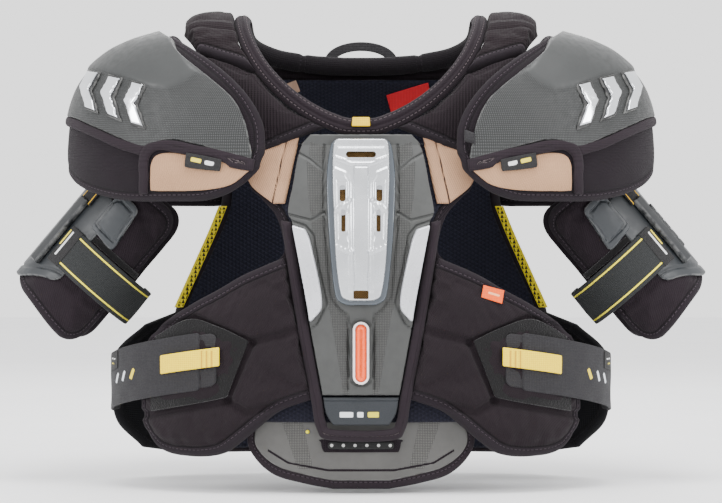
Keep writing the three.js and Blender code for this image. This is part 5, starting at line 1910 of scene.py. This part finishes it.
@dataclass
class Caps:
    """The shoulder caps: fabric flap, moulded shell, seam tapes, tan patch, emblem and labels."""

    foot_rise: float = 11.0
    clear: float = 4.0
    arch_outer: float = 168.0
    facet: Outline = ((186, 18), (226, 8), (250, -6), (262, -22), (254, -24), (226, -31), (205, -38.5),
        (186, -47), (172, -49), (157, -42), (146, -33))
    foot_line: Outline = ((97, -107.5), (121, -103), (146, -95.5), (163, -92), (176, -92.5), (185, -96),
        (191, -98), (200, -95.5), (218, -88.5), (240, -79), (262, -69.5), (273, -65))
    top_line: Outline = ((97, -106), (99, -93), (103, -76), (111, -60), (122, -47.5), (143, -30),
        (164, -12.5))
    patch_top: Outline = ((99, -118.5), (128, -110), (150, -105.5), (165, -102.5), (177, -101.5),
        (185, -104.5), (189, -112))
    patch_foot: Outline = ((103, -122), (118, -131.5), (135, -135.5), (155, -136.5), (170, -136.5),
        (181, -136.5), (189, -136))
    hoop_in: Outline = ((96, -119.5), (128, -109.5), (150, -105), (165, -102), (177, -101), (185.5, -104),
        (190, -112), (190.5, -125), (190.5, -139))
    hoop_out: Outline = ((95, -108.5), (125, -100.5), (148, -95.5), (165, -92.5), (180, -92), (192, -95.5),
        (198, -108), (198.5, -124), (198.5, -140))
    seam_top: Outline = ((190, -95.5), (200, -94), (218, -87.5), (240, -78), (262, -68.5), (273, -64))
    seam_foot: Outline = ((196, -105.5), (203, -103.5), (219, -97.5), (240, -88), (262, -78.5), (274, -73.5))
    inner_low: float = 6.0
    rim_drop: float = 21.0
    foot_low: float = 2.0
    mark_end: float = 272.0
    mark_top: Pair = (-21.0, 0.30)
    mark_foot: Pair = (-52.0, 0.36)
    mark_starts: Tuple[float, ...] = (258.0, 236.0, 214.0)

    def inner(self, along: Array) -> Array:
        """Height in degrees of the flap's inner edge: it falls from the crown's height to 6."""
        dome = Dome()
        share = (self.arch_outer + self.clear - dome.inset) / dome.reach
        crown = math.degrees(math.acos(share ** (1 / DOME_UP)))
        return self.inner_low + (crown - self.inner_low) * (1 - (np.abs(along) / 90) ** 2.2) ** 0.6

    def rim(self, along: Array) -> Array:
        """Height in degrees of the rim: 21 below level, level at the outer side and at each inner corner."""
        size = np.abs(along)
        rounded = np.interp(size, [74, 77.2, 80, 82.7, 85.3, 88, 90], [0, 1.5, 4, 7.5, 12.5, 18.5, 22.5])
        return -self.rim_drop * np.sin(np.radians(np.minimum(90, size * 1.6))) ** 2 + rounded

    def foot(self, along: Array) -> Array:
        """Height in degrees of the shell's foot: higher at the outer side by a cosine cubed."""
        return self.foot_low + self.foot_rise * np.cos(np.radians(along)) ** 3

    def edge(self, along: Array, height: Array) -> Array:
        """Returns an edge from its angles and its heights."""
        return np.stack([along, height], -1)

    def build(self) -> None:
        """Builds both caps."""
        for word, side in SIDES:
            self.build_cap(word, side)

    def front_line(self, dome: Dome, line: Outline) -> Array:
        """Returns a line drawn as seen from the front, as along and up on the dome."""
        return np.array([dome.find(across, height) for across, height in line])

    def wrapped(self, dome: Dome, line: Outline, height: Callable[[Array], Array], end: float) -> Array:
        """Joins a line drawn from the front to one that runs on round the outer side to the back.

        Args:
            dome: the cap's surface.
            line: the part seen from the front, from the inner edge outwards.
            height: height in degrees by angle for the rest.
            end: the angle at the back where it stops.

        Returns:
            Along and up.
        """
        ahead = self.front_line(dome, line)
        rest = np.linspace(ahead[-1, 0] + 8, end, 22)
        return np.vstack([ahead, self.edge(rest, height(rest))])

    def build_cap(self, word: str, side: int) -> None:
        """Builds one cap.

        Args:
            word: left or right.
            side: 1 or -1.
        """
        dome, body = Dome(side), f"cap_{word}"
        around = 90 * np.sin(np.linspace(-math.pi / 2, math.pi / 2, 61))
        fit(Patch(f"cap_flap_{word}", dome, self.edge(around, self.rim(around)),
            self.edge(around, self.inner(around)), -11, 0.6, (200, 84), band=8.6, crown=0.6, corner=3,
            bumps=0.25), SKIRT, body, f"cap_pad_{word}", kind=Kind.PAD)
        low = self.wrapped(dome, self.foot_line, self.foot, 81)
        top = self.wrapped(dome, self.top_line, lambda a: np.maximum(self.foot(a) + 3, self.inner(a) - 4.4),
            81)
        crease = Relief(self.facet, 2.2, 7.0)
        fit(Patch(f"cap_plastic_{word}", dome, low, top, 0.4, 5.0, (220, 104), Edge.MOULDED, corner=6,
            reliefs=[crease], zones={"facet": [self.facet]}, bumps=0.15), CAP_PLASTIC, body,
            f"cap_shell_{word}")
        seam = self.wrapped(dome, self.seam_top, lambda a: self.foot(a) + 0.6, 87)
        hem = self.wrapped(dome, self.seam_foot, lambda a: self.foot(a) - 3.4, 87)
        fit(Patch(f"cap_tape_{word}", dome, seam, hem, 0.2, 5.4, (240, 14), Edge.ROLLED, crown=0.2,
            bumps=0.1), BINDING, body, kind=Kind.PAD)
        self.build_patch(word, dome, body)
        self.build_emblem(word, dome, body)

    def build_patch(self, word: str, dome: Dome, body: str) -> None:
        """Builds the tan patch, the tape round it, its label and the loop tab on the inner edge.

        Args:
            word: left or right.
            dome: the cap's surface.
            body: the body that it rides on.
        """
        fit(Patch(f"tan_patch_{word}", dome, self.front_line(dome, self.patch_top),
            self.front_line(dome, self.patch_foot), 0.6, 2.4, (90, 44), Edge.ROLLED, crown=0.5, bumps=0.15),
            TAN_PATCH, body, f"cap_patch_{word}", kind=Kind.SHEET)
        fit(Patch(f"patch_tape_{word}", dome, self.front_line(dome, self.hoop_out),
            self.front_line(dome, self.hoop_in), 0.4, 5.8, (150, 14), Edge.ROLLED, crown=0.2, bumps=0.1),
            BINDING, body, kind=Kind.PAD)
        corners = self.front_line(dome, ((124, -109), (154, -102), (126, -119), (156, -112)))
        marks = [slab((130, -113.2), (138, -111.4), 1.8)]
        seconds = [slab((141, -110.6), (150, -108.6), 1.8)]
        fit(Patch(f"patch_label_{word}", dome, corners[:2], corners[2:], 3.6, 6.6, (40, 16), Edge.CUT,
            bumps=0, zones={"mark": marks, "second": seconds}), LABEL, body, kind=Kind.SHEET)
        if dome.side > 0:
            loop = self.front_line(dome, ((92, -84), (101, -86), (92, -93), (101, -95)))
            fit(Patch("cap_loop", dome, loop[:2], loop[2:], 3.0, 7.2, (20, 20), Edge.ROLLED, bumps=0),
                LOOP_TAPE, body, kind=Kind.PAD)

    def build_emblem(self, word: str, dome: Dome, body: str) -> None:
        """Builds the raised mark: three bright chevrons on dark backs, which stand for no maker.

        Args:
            word: left or right.
            dome: the cap's surface.
            body: the body that it rides on.
        """
        share = np.linspace(0, 1, 15)
        for number, start in enumerate(self.mark_starts):
            for layer, (grow, low, high, finish) in enumerate(((2.2, 4.4, 6.8, BAR_PLASTIC),
                    (0.0, 6.2, 8.8, CHROME))):
                tip = 7.5 * (1 - np.abs(share - 0.5) / 0.5)
                edges = []
                for offset in (tip + grow, tip - 9.5 - grow):
                    across = start - 12 + offset
                    top = self.mark_top[0] - self.mark_top[1] * (self.mark_end - across) + grow
                    foot = self.mark_foot[0] - self.mark_foot[1] * (self.mark_end - across) - grow
                    line = np.stack([across, foot + (top - foot) * share], -1)
                    edges.append(self.front_line(dome, line))
                nodes = (f"cap_emblem_{word}",) if number == 0 and layer == 0 else ()
                fit(Patch(f"chevron_{number}{layer}_{word}", dome, edges[0], edges[1], low, high, (60, 20),
                    Edge.MOULDED, bumps=0), finish, body, *nodes)


@dataclass
class Arms:
    """The biceps guards: pads, shells, facets, rails, hangers, straps and plates."""

    length: float = 147.0
    wall: float = 10.0
    over_pad: float = 11.1
    shell: float = 3.2
    wrap: float = 140.0
    shell_wrap: float = 75.0
    strap_from: float = -62.0
    strap_to: float = -212.0
    strap_middle: float = 92.0
    strap_width: float = 38.0
    rail_angle: float = -39.0
    pad_length: float = 150.0
    pad_notch: float = 8.0

    def pad_foot(self, angle: Array) -> Array:
        """Length down the arm where the pad ends: shorter at the outer side than at both flaps."""
        notch = self.pad_notch * np.exp(-((angle / 34) ** 2))
        return self.pad_length - notch + self.pad_notch * smooth(50, 120, np.abs(angle))

    def build(self) -> None:
        """Builds both guards."""
        for word, side in SIDES:
            self.build_guard(word, side)
            self.build_rail(word, side)
            self.build_strap(word, side)

    def build_guard(self, word: str, side: int) -> None:
        """Builds the pad and its shell.

        Args:
            word: left or right.
            side: 1 or -1.
        """
        on, body = Gutter(side), f"guard_{word}"
        angles = np.linspace(-self.wrap, self.wrap, 33)
        top = np.stack([angles, np.zeros(33)], -1)
        foot = np.stack([angles, self.pad_foot(angles)], -1)
        seam = on.plane(np.linspace(-140, 0, 12), np.full(12, 116.0))
        fit(Patch(f"guard_pad_{word}", on, top, foot, 0, self.wall, (150, 76), band=8, crown=1.2, corner=24,
            grooves=[Groove(seam, 1.2, 1.6)], pressure=4.0, bumps=0.3),
            Cloth("guard_knit", (48, 40, 46), Weave.TWILL, 2.2, band=8), body, f"arm_pad_{word}",
            kind=Kind.PAD)
        wide = np.linspace(-self.shell_wrap, self.shell_wrap, 25)
        reach = np.abs(wide) / self.shell_wrap
        start = np.stack([wide, 22 + 8 * reach**2], -1)
        end = np.stack([wide, 141 - 20 * smooth(0.2, 1.0, reach)], -1)
        lip = on.plane(wide, 131 - 20 * smooth(0.2, 1.0, reach))
        fit(Patch(f"guard_shell_{word}", on, start, end, self.over_pad - 0.6, self.over_pad + self.shell,
            (120, 72), Edge.MOULDED, corner=9, grooves=[Groove(lip, 1.1, 2.2)], bumps=0.1), ARM_PLASTIC, body,
            f"arm_shell_{word}")
        facet = [np.array([(-93, 33), (-91, 20), (-74, 18), (-64, 24)], float),
            np.array([(-96, 50), (-96, 64), (-76, 62), (-64, 60)], float)]
        ring = on.plane(np.array([-90.0, -88.0, -72.0, -67.0, -67.0, -76.0, -92.0, -92.0, -90.0]),
            np.array([32.0, 25, 23, 27, 54, 56, 57, 48, 32]))
        fit(Patch(f"guard_facet_{word}", on, facet[0], facet[1], self.over_pad - 1.2,
            self.over_pad + self.shell + 0.6, (60, 50), Edge.MOULDED, corner=3,
            grooves=[Groove(ring, 1.3, 1.8)], bumps=0), ARM_FACET, body)
        if side > 0:
            self.build_plate(on, body)

    def build_plate(self, on: Gutter, body: str) -> None:
        """Builds the raised plate with its four rivets on the left guard.

        Args:
            on: the arm's surface.
            body: the body that it rides on.
        """
        high = self.over_pad + self.shell
        edges = [np.array([(angle, 56), (angle, 108)], float) for angle in (-25, -9)]
        edges[0][0, 1] = 62
        middle = math.radians(-17) * (on.bore + GUARD_FACE)
        spots = [circle(middle, down, 1.6, 12) for down in (66, 77, 88, 99)]
        fit(Patch("rivet_plate", on, edges[0], edges[1], high - 0.4, high + 1.8, (90, 36), Edge.MOULDED,
            corner=3, bumps=0, zones={"mark": spots}, reliefs=[Relief(spot, 0.9, 0.9) for spot in spots]),
            StripedTape("rivet_plate", (50, 52, 54), (186, 188, 190), marked=True, period=0.8), body)

    def build_rail(self, word: str, side: int) -> None:
        """Builds the rail and the tape that hangs it from the cap.

        Args:
            word: left or right.
            side: 1 or -1.
        """
        on, body = Gutter(side), f"hanger_{word}"
        seat = self.over_pad + self.shell + 1.1
        bar = [np.array([(self.rail_angle + turn, 43), (self.rail_angle + turn, 119)],
            float) for turn in (-5.5, 5.5)]
        fit(Patch(f"box_rail_{word}", on, bar[0], bar[1], seat - 0.6, seat + 5.6, (130, 24), Edge.MOULDED,
            corner=1, bumps=0), RAIL_PLASTIC, body, f"arm_rail_{word}")
        tape = [np.array([(self.rail_angle + turn, -32), (self.rail_angle + turn, 46)],
            float) for turn in (-9, 9)]
        fit(Patch(f"hanger_tape_{word}", on, tape[0], tape[1], seat, seat + 2.2, (100, 20), Edge.CUT,
            bare=("start", "end"), bumps=0.2), HANGER_TAPE, body, f"arm_hanger_{word}", kind=Kind.SHEET)

    def build_strap(self, word: str, side: int) -> None:
        """Builds the elastic strap, its sewn end, and the loop strip beside it.

        Args:
            word: left or right.
            side: 1 or -1.
        """
        on, body = Gutter(side), f"arm_strap_{word}"
        seat = self.over_pad + self.shell + 1.1
        angles = np.linspace(self.strap_from, self.strap_to, 24)
        skew = 6.0 * (self.strap_from - angles) / (self.strap_from - self.strap_to) - 3
        edges = [np.stack([angles, self.strap_middle + skew + sign * self.strap_width / 2],
            -1) for sign in (-1, 1)]
        fit(Patch(f"strap_elastic_{word}", on, edges[0], edges[1], seat - 0.2, seat + 2.2, (130, 44),
            Edge.CUT, bare=("start", "end"), bumps=0.25), ARM_ELASTIC, body, f"arm_strap_{word}",
            kind=Kind.SHEET)
        ends = np.linspace(self.strap_from + 11, self.strap_from - 4, 5)
        flap = [np.stack([ends, np.full(5, self.strap_middle - 3 + sign * (self.strap_width / 2 + 0.6))],
            -1) for sign in (-1, 1)]
        plane = on.plane(np.array([self.strap_from + 3]), np.array([0.0]))[0, 0]
        marks = [slab((plane + 2.6, 74), (plane + 2.6, 101), 0.9)]
        seconds = [slab((plane + 6.2, 74), (plane + 6.2, 91), 0.9)]
        fit(Patch(f"strap_root_{word}", on, flap[0], flap[1], seat - 0.6, seat + 2.9, (26, 50), Edge.CUT,
            bumps=0.1, zones={"mark": marks, "second": seconds}), LABEL, body, kind=Kind.SHEET)
        low = np.linspace(self.strap_from - 2, -138, 10)
        shift = 6.0 * (self.strap_from - low) / (self.strap_from - self.strap_to) - 3
        strip = [np.stack([low, self.strap_middle + shift - self.strap_width / 2 - gap], -1) for gap in (1.0,
            7.0)]
        fit(Patch(f"hook_strip_{word}", on, strip[0], strip[1], self.wall + 0.4, self.wall + 3.4, (90, 12),
            Edge.ROLLED, bumps=0.2), PILE, f"guard_{word}", kind=Kind.PAD)


@dataclass
class Studio:
    """A pale floor, a soft white room and the camera."""

    distance: float = 2.4
    elevation: float = 0.0
    target: Tuple[float, float, float] = (0.0, 0.0, -0.191)
    lens: float = 126.0
    sensor: float = 36.0

    def build(self) -> None:
        """Builds the floor, lights and camera."""
        self.build_floor()
        self.build_lights()
        self.build_camera()

    def build_floor(self) -> None:
        """Builds a wide pale floor under the lowest point."""
        low = CAD_BOX[0][2] - 0.004
        x, y = np.meshgrid(np.linspace(-6, 6, 13), np.linspace(-6, 6, 13), indexing="ij")
        verts = np.stack([x, y, np.full_like(x, low)], -1).reshape(-1, 3)
        floor = mesh_object("floor", verts, grid_quads(np.arange(x.size).reshape(x.shape)))
        g = Graph("pale_floor")
        g.feed(g.shader.inputs["Base Color"], g.mix(g.noise(6.0), rgb((243, 243, 244)), rgb((249, 249, 250))))
        g.shader.inputs["Roughness"].default_value = 0.9
        floor.data.materials.append(g.material)

    def build_lights(self) -> None:
        """Builds a white world and large soft lights above, in front and at both sides."""
        world = bpy.data.worlds.new("white_room")
        world.use_nodes = True
        ground = world.node_tree.nodes["Background"]
        ground.inputs["Color"].default_value = (1.0, 1.0, 1.0, 1.0)
        ground.inputs["Strength"].default_value = 1.9
        bpy.context.scene.world = world
        for name, place, power, size in (
            ("top_light", (0.1, -0.7, 1.6), 40, 0.9),
            ("left_light", (1.6, -1.3, 0.6), 18, 0.6),
            ("right_light", (-1.6, -1.3, 0.5), 18, 0.6),
            ("back_light", (0.0, 1.6, 1.1), 16, 1.2),
        ):
            light = bpy.data.lights.new(name, "AREA")
            light.energy = power
            light.size = size
            made = bpy.data.objects.new(name, light)
            made.location = place
            made.rotation_euler = aim_at(np.array(self.target) - np.array(place))
            bpy.context.scene.collection.objects.link(made)

    def build_camera(self) -> None:
        """Builds the camera straight in front of the chest."""
        lift = math.radians(self.elevation)
        place = np.array(self.target) + self.distance * np.array([0, -math.cos(lift), math.sin(lift)])
        data = bpy.data.cameras.new("front_camera")
        data.type = "PERSP"
        data.lens = self.lens
        data.sensor_width = self.sensor
        camera = bpy.data.objects.new("front_camera", data)
        camera.location = place
        camera.rotation_euler = aim_at(np.array(self.target) - place)
        bpy.context.scene.collection.objects.link(camera)
        bpy.context.scene.camera = camera


def aim_at(way: Array) -> Tuple[float, float, float]:
    """Returns the turns that point an object's -Z axis along a direction, keeping it level."""
    flat = math.hypot(way[0], way[1])
    return (math.atan2(flat, -way[2]), 0.0, math.atan2(way[1], way[0]) - math.pi / 2)


def main() -> None:
    """Builds the pads in order."""
    logging.basicConfig(level=logging.INFO, format="%(name)s %(message)s")
    Studio().build()
    neck = NeckAndShoulders()
    FrontPanel().build()
    RibWings().build()
    Sternum().build()
    BellyPad().build()
    neck.build()
    BackPanel().build(neck)
    Caps().build()
    Arms().build()


if __name__ == "__main__":
    main()
